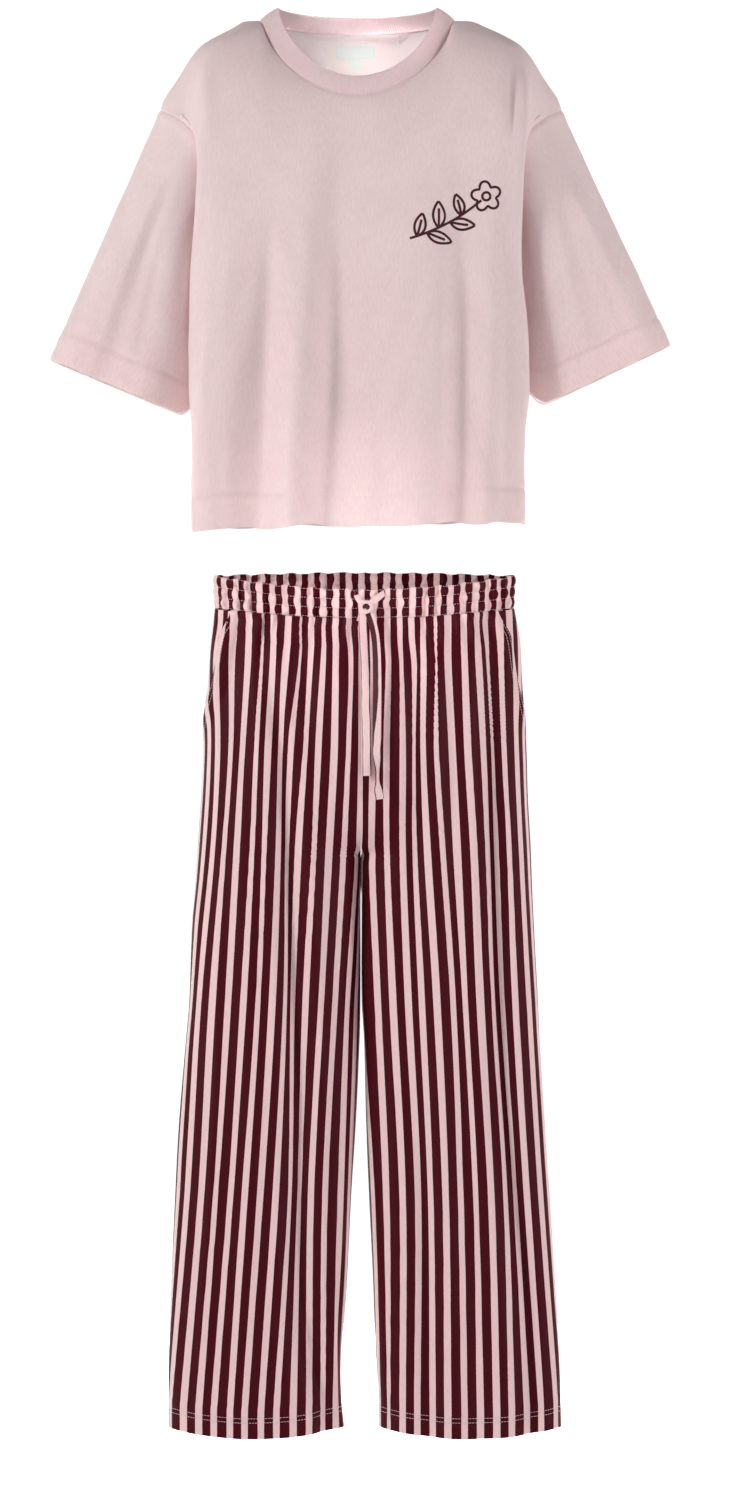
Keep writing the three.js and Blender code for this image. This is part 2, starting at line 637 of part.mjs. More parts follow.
// Rows of a leg from the centre front round the side to the centre back, level by level.
function legGrid(leg) {
  const legMiddle = leg > 0 ? 127 : -124;
  return LEG_Z.map((z) => {
    const front = legQuarter(z, leg, -1);
    const back = legQuarter(z, leg, 1);
    const reach = pocketShare(z, polylineLength(front));
    const frontShares = evenReach(z, polylineLength(front), leg, -1);
    const fronts = resample(front, frontShares.map((share) => share * reach));
    const backs = resample(back, evenReach(z, polylineLength(back), leg, 1)).reverse();
    const place = ([x, y]) => {
      const across = Math.min(Math.abs(x - legMiddle) / 104, 1);
      const dip = HEM_DIP * (1 - across * across) * ease(-1450, HEM_Z, z);
      return [x, y, z + waistSag(x, y, z) - dip];
    };
    return { z, fronts: fronts.map(place), backs: backs.map(place) };
  });
}

// Level unit normals along a leg's row. At the side seam they face straight out, and at the inseam straight in.
function levelNormals(row, turn) {
  const last = row.length - 1;
  const inLeg = row[0][2] < RISE.crotch + 1;
  return row.map((_, i) => {
    if (i === LEG_COLUMNS || i === LEG_COLUMNS + 1) return [turn, 0, 0];
    if (inLeg && (i === 0 || i === last)) return [-turn, 0, 0];
    const a = row[Math.max(i - 1, 0)];
    const b = row[Math.min(i + 1, last)];
    return unit([turn * (b[1] - a[1]), -turn * (b[0] - a[0]), 0]);
  });
}

function displace(row, turn, heights) {
  const normals = levelNormals(row, turn);
  return row.map((point, i) => point.map((value, k) => value + normals[i][k] * heights[i]));
}

// Below the crotch the gap between the legs slants, so that nothing shows through it from the front.
const gapSlant = (z) => 0.07 * ease(-973, -992, z) * (1 - ease(-1150, -1230, z));

function keepBeside(leg, row) {
  return row.map(([x, y, z]) => {
    const middle = gapSlant(z) * y;
    return [middle + leg * Math.max(leg * (x - middle), 0.3), y, z];
  });
}

function trouserLeg(leg, name) {
  const rows = legGrid(leg);
  const columns = LEG_COLUMNS;
  const shaped = rows.map(({ z, fronts, backs }) => {
    const gather = 2.2 * (1 - ease(-690, -800, z));
    const calm = (c) => ease(0, 2, Math.min(c, columns - c));
    const wave = (c) => gather * Math.cos(c * Math.PI * 0.5 + 0.4);
    // the pocket mouth stands a little open
    const gape = 3 * ease(-690, -725, z) * (1 - ease(-785, -842, z));
    const frontHeights = fronts.map(
      ([x], c) => (legFolds(FRONT_FOLDS, x, z) + wave(c)) * calm(c) + gape * ease(columns - 3, columns, c),
    );
    const backHeights = backs.map(([x], c) => (legFolds(BACK_FOLDS, x, z) + wave(c)) * calm(c));
    const whole = [...displace(fronts, leg, frontHeights), ...displace(backs, leg, backHeights)];
    return { z, whole };
  });
  const panel = (pick) => {
    const outer = shaped.map(({ whole }) => pick(keepBeside(leg, whole)));
    const inner = shaped.map(({ whole }) => {
      const normals = levelNormals(whole, leg);
      return pick(keepBeside(leg, whole.map((p, i) => p.map((value, k) => value - normals[i][k] * TWILL))));
    });
    return [outer, inner];
  };
  const trim = (grid, side) =>
    grid.map((row, r) =>
      row.map(([x, y, z], c) => {
        // each quarter's edge keeps clear of its neighbour at the side seam and at the inseam
        const atSide = c === columns && side < 0 ? 1 : c === 0 && side > 0 ? 1 : 0;
        const atInner = c === 0 && side < 0 ? 1 : c === columns && side > 0 ? 1 : 0;
        const inLeg = LEG_Z[r] < RISE.crotch + 1 ? 1 : 0;
        return [x, y + side * SEAM * 0.6 * (atSide + atInner * inLeg), z];
      }),
    );
  const [frontOuter, frontInner] = panel((row) => row.slice(0, columns + 1));
  const [backOuter, backInner] = panel((row) => row.slice(columns + 1));
  add("leg_front_" + name, wall(trim(frontOuter, -1), trim(frontInner, -1)), stripe);
  add("leg_back_" + name, wall(trim(backOuter, 1), trim(backInner, 1)), stripe);
}

trouserLeg(1, "left");
trouserLeg(-1, "right");

// The striped facing behind each slanting pocket mouth, from under the front panel to the side seam.
const FACING_ROWS = [-687.2, -705, -730, -758, -786, -812, -838];
const FACING_COLUMNS = 4;
const FACING_LAP = 7;
const FACING_SUNK = 3.4;

function facing(leg, name) {
  const outer = FACING_ROWS.map((z) => {
    const line = legQuarter(z, leg, -1);
    const length = polylineLength(line);
    const from = pocketShare(z, length) - FACING_LAP / length;
    const row = resample(line, evenly(FACING_COLUMNS).map((t) => from + (0.9985 - from) * t));
    const normals = row.map((point, i) => {
      const a = row[Math.max(i - 1, 0)];
      const b = row[Math.min(i + 1, FACING_COLUMNS)];
      return i === FACING_COLUMNS ? [leg, 0] : unit([leg * (b[1] - a[1]), -leg * (b[0] - a[0])]);
    });
    return row.map(([x, y], i) => {
      const sunk = FACING_SUNK * (1 - ease(0.45, 1, i / FACING_COLUMNS));
      const edge = i === FACING_COLUMNS ? -SEAM * 0.6 : 0;
      const level = z + waistSag(x, y, z);
      const wallAt = (extra) => [x - normals[i][0] * (sunk + extra), y - normals[i][1] * (sunk + extra) + edge, level];
      return [wallAt(0), wallAt(TWILL)];
    });
  });
  const face = (k) => outer.map((row) => row.map((pair) => pair[k]));
  add("pocket_facing_" + name, wall(face(0), face(1)), stripe);
}

facing(1, "left");
facing(-1, "right");

// The waistband: three channels of elastic, gathered into waves. Front and back meet at the side seams.
const BAND_ROWS = [0, 1 / 3, 2 / 3, 1];
const BAND_WAVE = [2.4, 1.9, 1.9, 2.2];

function waistband(side, name) {
  const columns = WAVES * 2;
  const [centre, half, front, back, exponent] = HIP_SECTIONS[0].slice(1);
  const depth = side < 0 ? front : back;
  const grid = BAND_ROWS.map((t) => {
    const wide = WAIST.half + (half - WAIST.half) * t;
    const line = evenly(240).map((share) => {
      const turn = Math.PI * share;
      return [centre - wide * power(Math.cos(turn), 2 / exponent), side * depth * Math.sin(turn) ** (2 / exponent)];
    });
    const z = WAIST.topZ - t * WAIST.height;
    return resample(line, evenly(columns)).map(([x, y]) => [x, y, z + waistSag(x, y, z)]);
  });
  const normals = grid.map((row) =>
    row.map((_, c) => {
      if (c === 0 || c === columns) return [c ? 1 : -1, 0, 0];
      return unit([side * (row[c - 1][1] - row[c + 1][1]), side * (row[c + 1][0] - row[c - 1][0]), 0]);
    }),
  );
  const waved = moved(grid, normals, (_, r, c) => BAND_WAVE[r] * Math.cos(c * Math.PI * 0.5) * (c % columns ? 1 : 0));
  const apart = (g) => g.map((row) => row.map(([x, y, z], c) => [x, c % columns ? y : y + side * SEAM * 0.6, z]));
  add(name, wall(apart(waved), apart(moved(waved, normals, -BAND))), stripe);
}

waistband(-1, "waistband_front");
waistband(1, "waistband_back");

// ---- The drawstring: a flat tie, knotted in front of the band, with two loose ends ----

const TIE = { width: 9.5, thick: 2.4 };
const KNOT = { x: 7, y: -54.5, z: -686, wide: 13, deep: 6.5, high: 9.5 };
const knot = add("drawstring_knot", new THREE.SphereGeometry(1, 14, 9), tie);
knot.scale.set(KNOT.wide, KNOT.deep, KNOT.high);
knot.rotation.y = 0.35;
knot.position.set(KNOT.x, KNOT.y, KNOT.z);

const TAILS = {
  // x, y, z of the middle of each loose end, from the knot down
  drawstring_tail_right: [
    [2, -55.6, -696.2],
    [2.4, -59.5, -706],
    [3.2, -67.5, -724],
    [5, -78, -760],
    [6, -82, -810],
    [7, -83, -850],
    [7, -82.5, -882],
  ],
  drawstring_tail_left: [
    [12.2, -55.8, -696.6],
    [14.5, -60.5, -707],
    [17, -70, -726],
    [18.5, -80, -760],
    [18.5, -83, -832],
    [18.5, -83.5, -870],
    [19, -84, -892],
    [22, -86, -909],
  ],
};

// The tie's section, across its width and its thickness, with rounded edges.
function tieSection() {
  const section = new THREE.Shape();
  const turns = [22.5, 67.5, 112.5, 157.5, 202.5, 247.5, 292.5, 337.5].map(THREE.MathUtils.degToRad);
  turns.forEach((turn, i) => {
    const x = (TIE.width / 2) * power(Math.cos(turn), 0.45);
    const y = (TIE.thick / 2) * power(Math.sin(turn), 0.8);
    if (i) section.lineTo(x, y);
    else section.moveTo(x, y);
  });
  section.closePath();
  return section;
}

for (const [name, points] of Object.entries(TAILS)) {
  const path = new THREE.CatmullRomCurve3(points.map((p) => new THREE.Vector3(...p)), false, "centripetal");
  const geometry = new THREE.ExtrudeGeometry(tieSection(), { steps: 24, extrudePath: path, bevelEnabled: false });
  add(name, geometry, tie);
}

export default set;
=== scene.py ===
"""A pyjama set in cloth: a pale pink drop-shoulder tee above wide burgundy and pink striped trousers.

Shapes are worked out in millimetres, +Z up, front facing -Y, and go into Blender in metres.
Left and right are the wearer's, so the left side is at +X.
"""

import math

import bpy
import numpy as np
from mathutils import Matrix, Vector
from mathutils.bvhtree import BVHTree


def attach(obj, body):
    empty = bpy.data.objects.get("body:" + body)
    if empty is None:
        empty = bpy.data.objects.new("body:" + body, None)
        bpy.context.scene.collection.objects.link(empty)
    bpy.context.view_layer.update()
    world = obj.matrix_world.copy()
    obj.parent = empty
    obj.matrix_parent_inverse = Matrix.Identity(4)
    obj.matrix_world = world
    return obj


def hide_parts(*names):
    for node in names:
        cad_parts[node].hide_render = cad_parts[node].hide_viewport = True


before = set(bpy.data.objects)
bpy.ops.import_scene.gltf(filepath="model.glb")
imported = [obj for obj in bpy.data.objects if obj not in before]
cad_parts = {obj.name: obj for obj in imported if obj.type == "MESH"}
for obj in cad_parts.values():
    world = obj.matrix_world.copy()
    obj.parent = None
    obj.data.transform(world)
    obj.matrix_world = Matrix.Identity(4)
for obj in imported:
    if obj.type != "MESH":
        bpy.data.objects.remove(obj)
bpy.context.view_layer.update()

# Camera and light

CENTRE = Vector((0.0099, 0, -0.852))
AWAY = 8.0
LENS_MM = 164.1
SENSOR_MM = 36

camera_data = bpy.data.cameras.new("camera")
camera_data.lens = LENS_MM
camera_data.sensor_width = SENSOR_MM
camera_data.clip_end = 100
camera = bpy.data.objects.new("camera", camera_data)
camera.location = CENTRE - Vector((0, AWAY, 0))
camera.rotation_euler = (math.pi / 2, 0, 0)
bpy.context.scene.collection.objects.link(camera)
bpy.context.scene.camera = camera
bpy.context.scene.view_settings.view_transform = "Standard"

world = bpy.data.worlds.new("studio")
bpy.context.scene.world = world
world.use_nodes = True
world.node_tree.nodes["Background"].inputs["Color"].default_value = (1, 1, 1, 1)
sky = world.node_tree
# a pale band all round at the height of the horizon, and little light from above and below
direction = sky.nodes.new("ShaderNodeTexCoord")
parts_of_it = sky.nodes.new("ShaderNodeSeparateXYZ")
height_of_it = sky.nodes.new("ShaderNodeMath")
height_of_it.operation = "ABSOLUTE"
band = sky.nodes.new("ShaderNodeMapRange")
for socket, value in (("From Min", 0.13), ("From Max", 0.26), ("To Min", 1.1), ("To Max", 0.06)):
    band.inputs[socket].default_value = value
sky.links.new(direction.outputs["Generated"], parts_of_it.inputs["Vector"])
sky.links.new(parts_of_it.outputs["Z"], height_of_it.inputs[0])
sky.links.new(height_of_it.outputs[0], band.inputs["Value"])
sky.links.new(band.outputs["Result"], sky.nodes["Background"].inputs["Strength"])


def lamp(name, place, size, watts, target=CENTRE, spread=180):
    data = bpy.data.lights.new(name, "AREA")
    data.shape = "DISK"
    data.size = size
    data.energy = watts
    data.spread = math.radians(spread)
    thing = bpy.data.objects.new(name, data)
    thing.location = place
    thing.rotation_euler = (Vector(target) - Vector(place)).to_track_quat("-Z", "Y").to_euler()
    bpy.context.scene.collection.objects.link(thing)


lamp("key", (-4.4, -2.9, 1.2), 1.1, 160)
lamp("fill", (4.6, -2.2, 0.3), 1.3, 95)
lamp("top", (0.3, -2.8, 2.6), 1.0, 3, (0, 0, -0.1))
lamp("neck", (0.03, -1.6, 1.1), 0.06, 0.055, (0, 0.05, -0.035), 5.5)
lamp("waist", (0.0, -2.6, -0.52), 0.06, 0.055, (0, 0.03, -0.655), 9)
lamp("back_left", (2.6, 3.4, 0.4), 2.0, 24)
lamp("back_right", (-2.6, 3.4, 0.4), 2.0, 36)
lamp("floor_left", (1.9, 3.0, 0.9), 1.0, 75, (0.5, 2.5, -1.8), 78)
lamp("floor_right", (-1.9, 3.0, 0.9), 1.0, 75, (-0.5, 2.5, -1.8), 78)

# Numbers and curves


def ease(start, end, value):
    t = np.clip((value - start) / (end - start), 0, 1)
    return t * t * (3 - 2 * t)


def bell(away, width):
    return np.exp(-((away / width) ** 2))


def power(value, exponent):
    return np.sign(value) * np.abs(value) ** exponent


def unit(vectors):
    return vectors / np.maximum(np.linalg.norm(vectors, axis=-1, keepdims=True), 1e-9)


def blend(a, b, t):
    return a + (b - a) * t


def hermite(a, b, da, db, t):
    t2 = t * t
    t3 = t2 * t
    return a * (2 * t3 - 3 * t2 + 1) + b * (3 * t2 - 2 * t3) + da * (t3 - 2 * t2 + t) + db * (t3 - t2)


def look_up(rows, keys):
    """Value of every column of a table at each key, smooth between its rows."""
    rows = np.asarray(rows, float)
    if rows[-1, 0] < rows[0, 0]:
        rows = rows[::-1]
    x, y = rows[:, 0], rows[:, 1:]
    k = np.clip(np.atleast_1d(np.asarray(keys, float)), x[0], x[-1])
    i = np.clip(np.searchsorted(x, k, side="right") - 1, 0, len(x) - 2)
    before = np.maximum(np.arange(len(x)) - 1, 0)
    after = np.minimum(np.arange(len(x)) + 1, len(x) - 1)
    slope = (y[after] - y[before]) / (x[after] - x[before])[:, None]
    step = (x[i + 1] - x[i])[:, None]
    t = ((k - x[i]) / step[:, 0])[:, None]
    return hermite(y[i], y[i + 1], slope[i] * step, slope[i + 1] * step, t)


def refine(stops, grid, fine):
    """A grid between its rows, which stand at the given stops."""
    flat = np.concatenate([np.asarray(stops, float)[:, None], grid.reshape(len(grid), -1)], 1)
    return look_up(flat, fine).reshape(len(fine), *grid.shape[1:])


def run_of(points):
    steps = np.linalg.norm(np.diff(points, axis=0), axis=1)
    return np.concatenate([[0], np.cumsum(steps)])


def resample(points, shares):
    """Points at the given shares of a polyline's length."""
    run = run_of(points)
    return np.stack([np.interp(np.asarray(shares) * run[-1], run, c) for c in points.T], 1)


def smooth_line(points, count=60):
    """A centripetal curve through the points."""
    p = np.asarray(points, float)
    p = np.vstack([2 * p[0] - p[1], p, 2 * p[-1] - p[-2]])
    found = []
    last = len(p) - 3
    for k in range(count + 1):
        at = k / count * last
        i = min(int(at), last - 1)
        t = at - i
        a, b, c, d = p[i : i + 4]
        gaps = [np.sqrt(np.linalg.norm(v)) for v in (b - a, c - b, d - c)]
        g0, g1, g2 = gaps
        da = ((b - a) / g0 - (c - a) / (g0 + g1) + (c - b) / g1) * g1
        db = ((c - b) / g1 - (d - b) / (g1 + g2) + (d - c) / g2) * g1
        found.append(hermite(b, c, da, db, t))
    return np.array(found)


def normals_of(grid, ring=False, turn=1):
    if ring:
        across = np.roll(grid, -1, 1) - np.roll(grid, 1, 1)
    else:
        across = np.gradient(grid, axis=1)
    return unit(np.cross(across, np.gradient(grid, axis=0))) * turn


def rumple(u, v, size, seed):
    """Smooth height from -1 to 1 over a cloth, in lumps of about that size."""
    table = np.random.RandomState(seed).uniform(-1, 1, (64, 64))
    a, b = np.asarray(u) / size, np.asarray(v) / size
    i, j = np.floor(a).astype(int), np.floor(b).astype(int)
    f, g = a - i, b - j
    f, g = f * f * (3 - 2 * f), g * g * (3 - 2 * g)
    corner = [table[(i + di) % 64, (j + dj) % 64] for di in (0, 1) for dj in (0, 1)]
    return blend(blend(corner[0], corner[1], g), blend(corner[2], corner[3], g), f)


# Materials


def new_material(name):
    material = bpy.data.materials.new(name)
    material.use_nodes = True
    tree = material.node_tree
    return material, tree, tree.nodes["Principled BSDF"]


def node(tree, kind, inputs=(), **settings):
    made = tree.nodes.new("ShaderNode" + kind)
    for key, value in settings.items():
        setattr(made, key, value)
    for key, value in dict(inputs).items():
        if isinstance(value, bpy.types.NodeSocket):
            tree.links.new(value, made.inputs[key])
        else:
            made.inputs[key].default_value = value
    return made


def maths(tree, operation, *values, clamp=False):
    made = node(tree, "Math", {i: v for i, v in enumerate(values)}, operation=operation, use_clamp=clamp)
    return made.outputs[0]


def colours(tree, share, low, high):
    made = node(tree, "Mix", {0: share, 6: (*low, 1), 7: (*high, 1)}, data_type="RGBA")
    return made.outputs[2]


def mixed(tree, share, low, high):
    made = node(tree, "Mix", {0: share, 6: low, 7: high}, data_type="RGBA")
    return made.outputs[2]


def srgb(red, green, blue):
    """Linear colour of an everyday 0 to 255 one."""
    return tuple(((c / 255 + 0.055) / 1.055) ** 2.4 for c in (red, green, blue))


def cut_place(tree):
    """The place on the cloth's cut, across and along, in millimetres."""
    uv = node(tree, "UVMap", uv_map="cut").outputs[0]
    scaled = node(tree, "VectorMath", {0: uv, 1: (1000, 1000, 1000)}, operation="MULTIPLY").outputs[0]
    parts = node(tree, "SeparateXYZ", {0: scaled})
    return scaled, parts.outputs[0], parts.outputs[1]


def noise(tree, vector, scale, detail=2.0, rough=0.5):
    made = node(tree, "TexNoise", {"Vector": vector, "Scale": scale, "Detail": detail, "Roughness": rough})
    return made.outputs["Fac"]


def set_sheen(shader, weight, rough, tint):
    shader.inputs["Sheen Weight"].default_value = weight
    shader.inputs["Sheen Roughness"].default_value = rough
    shader.inputs["Sheen Tint"].default_value = (*tint, 1)


def jersey(name, light, dark, wale, depth):
    """Fine knit: upright columns of small loops with a soft fuzz."""
    material, tree, shader = new_material(name)
    place, across, along = cut_place(tree)
    column = maths(tree, "SINE", maths(tree, "MULTIPLY", across, 2 * math.pi / wale))
    bent = maths(tree, "ADD", along, maths(tree, "MULTIPLY", maths(tree, "ABSOLUTE", column), 0.35 * wale))
    course = maths(tree, "SINE", maths(tree, "MULTIPLY", bent, 2 * math.pi / (wale * 0.8)))
    loops = maths(tree, "ADD", maths(tree, "ABSOLUTE", column), maths(tree, "MULTIPLY", course, 0.35))
    stretched = node(tree, "Mapping", {"Vector": place, "Scale": (0.55, 0.11, 1)}).outputs[0]
    yarn = noise(tree, stretched, 1.0, 3.0, 0.65)
    cloud = noise(tree, place, 0.02, 2.0)
    fuzz = noise(tree, place, 1.4, 2.0)
    share = maths(tree, "ADD", maths(tree, "MULTIPLY", yarn, 0.7), maths(tree, "MULTIPLY", cloud, 0.3))
    tone = colours(tree, maths(tree, "SMOOTH_MIN", share, 1.0, 0.1), dark, light)
    height = maths(tree, "ADD", loops, maths(tree, "MULTIPLY", fuzz, 0.8))
    bump = node(tree, "Bump", {"Strength": depth, "Distance": 0.0002, "Height": height})
    tree.links.new(tone, shader.inputs["Base Color"])
    tree.links.new(bump.outputs[0], shader.inputs["Normal"])
    shader.inputs["Roughness"].default_value = 0.92
    shader.inputs["Specular IOR Level"].default_value = 0.2
    set_sheen(shader, 0.05, 0.5, (1, 0.93, 0.93))
    shader.inputs["Subsurface Weight"].default_value = 0.3
    shader.inputs["Subsurface Scale"].default_value = 0.004
    shader.inputs["Subsurface Radius"].default_value = (1.0, 0.72, 0.7)
    return material


STRIPE = 19.0  # from one dark stripe to the next
DARK_SHARE = 0.52
PINK = srgb(252, 221, 222)
PINK_DEEP = srgb(232, 190, 190)
BURGUNDY = srgb(82, 6, 23)
BURGUNDY_DEEP = srgb(60, 3, 15)


def striped(name, shade=1.0):
    """Silky twill printed with upright stripes."""
    material, tree, shader = new_material(name)
    place, across, along = cut_place(tree)
    wander = maths(tree, "MULTIPLY", maths(tree, "SUBTRACT", noise(tree, place, 0.9, 2.0), 0.5), 0.5)
    turn = maths(tree, "FRACT", maths(tree, "DIVIDE", maths(tree, "ADD", across, wander), STRIPE))
    edge = 0.012
    rise = node(tree, "MapRange", {0: turn, 1: 0.0, 2: edge, 3: 0.0, 4: 1.0}).outputs[0]
    fall = node(tree, "MapRange", {0: turn, 1: DARK_SHARE - edge, 2: DARK_SHARE, 3: 1.0, 4: 0.0}).outputs[0]
    dark = maths(tree, "MULTIPLY", rise, fall)
    slub = noise(tree, node(tree, "Mapping", {"Vector": place, "Scale": (1.6, 0.14, 1)}).outputs[0], 1.0,
        3.0, 0.6)
    # shade below 1 scales both colours down: a painted shade
    pink = colours(tree, slub, [c * shade for c in PINK_DEEP], [c * shade for c in PINK])
    wine = colours(tree, slub, [c * shade for c in BURGUNDY_DEEP], [c * shade for c in BURGUNDY])
    tone = mixed(tree, dark, pink, wine)
    diagonal = maths(tree, "ADD", maths(tree, "MULTIPLY", across, 1.0), maths(tree, "MULTIPLY", along, 1.0))
    twill = maths(tree, "SINE", maths(tree, "MULTIPLY", diagonal, 2 * math.pi / 0.9))
    thread = maths(tree, "SINE", maths(tree, "MULTIPLY", across, 2 * math.pi / 0.45))
    height = maths(tree, "ADD", maths(tree, "MULTIPLY", twill, 0.6), maths(tree, "MULTIPLY", thread, 0.25))
    height = maths(tree, "ADD", height, maths(tree, "MULTIPLY", slub, 0.8))
    bump = node(tree, "Bump", {"Strength": 0.25, "Distance": 0.0002, "Height": height})
    tree.links.new(tone, shader.inputs["Base Color"])
    tree.links.new(bump.outputs[0], shader.inputs["Normal"])
    shader.inputs["Roughness"].default_value = 0.48
    shader.inputs["Specular IOR Level"].default_value = 0.09
    return material


def plain(name, low, high, rough, weave=0.6, depth=0.3):
    """Plain woven cloth or thread with a slight change of tone."""
    material, tree, shader = new_material(name)
    place, across, along = cut_place(tree)
    tone = colours(tree, noise(tree, place, 0.5, 3.0, 0.6), low, high)
    a = maths(tree, "SINE", maths(tree, "MULTIPLY", across, 2 * math.pi / weave))
    b = maths(tree, "SINE", maths(tree, "MULTIPLY", along, 2 * math.pi / weave))
    bump = node(tree, "Bump", {"Strength": depth, "Distance": 0.0002, "Height": maths(tree, "MULTIPLY", a,
        b)})
    tree.links.new(tone, shader.inputs["Base Color"])
    tree.links.new(bump.outputs[0], shader.inputs["Normal"])
    shader.inputs["Roughness"].default_value = rough
    shader.inputs["Specular IOR Level"].default_value = 0.25
    set_sheen(shader, 0.08, 0.5, (1, 0.95, 0.95))
    return material


def tie_cloth(name):
    """A strip cut along the stripes: a pink face whose edges are dark."""
    material, tree, shader = new_material(name)
    place, across, along = cut_place(tree)
    wander = maths(tree, "MULTIPLY", maths(tree, "SUBTRACT", noise(tree, place, 0.05, 1.0), 0.5), 1.6)
    off = maths(tree, "ABSOLUTE", maths(tree, "ADD", across, wander))
    dark = node(tree, "MapRange", {0: off, 1: 4.0, 2: 4.3, 3: 0.0, 4: 1.0}).outputs[0]
    slub = noise(tree, place, 0.6, 3.0, 0.6)
    tone = mixed(tree, dark, colours(tree, slub, PINK_DEEP, PINK), colours(tree, slub, BURGUNDY_DEEP,
        BURGUNDY))
    bump = node(tree, "Bump", {"Strength": 0.3, "Distance": 0.0003, "Height": slub})
    tree.links.new(tone, shader.inputs["Base Color"])
    tree.links.new(bump.outputs[0], shader.inputs["Normal"])
    shader.inputs["Roughness"].default_value = 0.55
    set_sheen(shader, 0.1, 0.4, (1, 0.9, 0.92))
    return material


JERSEY_CLOTH = jersey("jersey", srgb(255, 230, 230), srgb(216, 189, 190), 0.9, 0.4)
# a paler copy of the jersey for the inner faces, the neck tape and the hanging loop: painted light inside the
# tee
JERSEY_INSIDE_PAINTED_LIGHT = jersey("jersey_inside_painted_light", srgb(255, 240, 240), srgb(242, 220, 221), 0.9, 0.3)
RIB_CLOTH = jersey("rib_knit", srgb(246, 220, 222), srgb(218, 190, 193), 1.1, 0.5)
STRIPED = striped("striped_twill")
# a darker copy of the twill for the inner faces of the legs, pocket facings and waistband: painted shade inside
# the trousers
STRIPED_INSIDE_PAINTED_SHADE = striped("striped_twill_inside_painted_shade", 0.9)
LABEL_CLOTH = plain("label_cotton", srgb(228, 228, 227), srgb(240, 240, 239), 0.7)
TIE_CLOTH = tie_cloth("tie_cloth")
PINK_THREAD = plain("pink_thread", srgb(232, 205, 206), srgb(246, 226, 227), 0.8, 0.3, 0.5)
DARK_THREAD = plain("dark_thread", srgb(96, 40, 52), srgb(120, 62, 72), 0.7, 0.3, 0.5)
PRINT_INK = plain("print_ink", srgb(58, 18, 26), srgb(76, 28, 36), 0.75, 0.9, 0.25)

# Meshes


def new_object(name, points, quads, uvs, materials, faces_material=None, sharp=math.radians(50)):
    """A smooth mesh. Each face is a row of (point, uv) numbers, -1 where a triangle has no fourth corner."""
    mesh = bpy.data.meshes.new(name)
    points = np.asarray(points, float)
    corners, places = quads
    sizes = (corners >= 0).sum(1)
    keep = corners.ravel() >= 0
    mesh.vertices.add(len(points))
    mesh.vertices.foreach_set("co", (points * 0.001).ravel())
    mesh.loops.add(int(sizes.sum()))
    mesh.loops.foreach_set("vertex_index", corners.ravel()[keep])
    mesh.polygons.add(len(corners))
    mesh.polygons.foreach_set("loop_start", np.concatenate([[0], np.cumsum(sizes)[:-1]]))
    mesh.polygons.foreach_set("loop_total", sizes)
    if faces_material is not None:
        mesh.polygons.foreach_set("material_index", faces_material)
    layer = mesh.uv_layers.new(name="cut")
    layer.data.foreach_set("uv", (np.asarray(uvs)[places.ravel()[keep]] * 0.001).ravel())
    for material in materials:
        mesh.materials.append(material)
    mesh.update(calc_edges=True)
    mesh.validate()
    mesh.shade_smooth()
    mesh.set_sharp_from_angle(angle=sharp)
    made = bpy.data.objects.new(name, mesh)
    bpy.context.scene.collection.objects.link(made)
    return made


def grid_faces(rows, columns, ring, start=0, uv_start=0, flip=False):
    """Faces of a grid as point numbers and uv numbers; a ring has one more uv column than points."""
    steps = columns if ring else columns - 1
    r, c = np.meshgrid(np.arange(rows - 1), np.arange(steps), indexing="ij")
    r, c = r.ravel(), c.ravel()
    wide = columns + 1 if ring else columns
    order = [(0, 0), (1, 0), (1, 1), (0, 1)]
    if flip:
        order = order[::-1]
    at = np.stack([start + (r + dr) * columns + (c + dc) % columns for dr, dc in order], 1)
    uv = np.stack([uv_start + (r + dr) * wide + c + dc for dr, dc in order], 1)
    return at, uv


def shell_parts(outer, inner, uv, ring=False):
    """Points, faces, uv numbers, uv places and sides of a thin cloth between an outer and an inner grid."""
    rows, columns = outer.shape[:2]
    wide = columns + 1 if ring else columns
    half = rows * columns
    points = np.concatenate([outer.reshape(-1, 3), inner.reshape(-1, 3)])
    uvs = np.concatenate([uv.reshape(-1, 2), uv.reshape(-1, 2)])
    parts = [grid_faces(rows, columns, ring), grid_faces(rows, columns, ring, half, rows * wide, True)]
    steps = columns if ring else columns - 1
    c = np.arange(steps)
    for r, turn in ((0, False), (rows - 1, True)):
        a, b = r * columns + c, r * columns + (c + 1) % columns
        ua, ub = r * wide + c, r * wide + c + 1
        at = np.stack([a, b, half + b, half + a], 1)
        at_uv = np.stack([ua, ub, rows * wide + ub, rows * wide + ua], 1)
        parts.append((at[:, ::-1], at_uv[:, ::-1]) if turn else (at, at_uv))
    if not ring:
        r = np.arange(rows - 1)
        for c, turn in ((0, True), (columns - 1, False)):
            a, b = r * columns + c, (r + 1) * columns + c
            at = np.stack([a, b, half + b, half + a], 1)
            at_uv = at - half * (at >= half) + rows * wide * (at >= half)
            parts.append((at[:, ::-1], at_uv[:, ::-1]) if turn else (at, at_uv))
    corners = np.concatenate([p[0] for p in parts])
    places = np.concatenate([p[1] for p in parts])
    which = np.zeros(len(corners), int)
    which[len(parts[0][0]) : len(parts[0][0]) + len(parts[1][0])] = 1
    a, b, d, e = [points[corners[:, k]] - points.mean(0) for k in range(4)]
    if np.einsum("ij,ij->", a, np.cross(b, d)) + np.einsum("ij,ij->", a, np.cross(d, e)) < 0:
        corners, places = corners[:, ::-1], places[:, ::-1]
    return points, corners, places, uvs, which


def shell(name, outer, inner, uv, materials, ring=False):
    """A thin cloth between an outer and an inner grid. uv holds the place on the cut of each outer point."""
    points, corners, places, uvs, which = shell_parts(outer, inner, uv, ring)
    return new_object(name, points, (corners, places), uvs, materials, which)


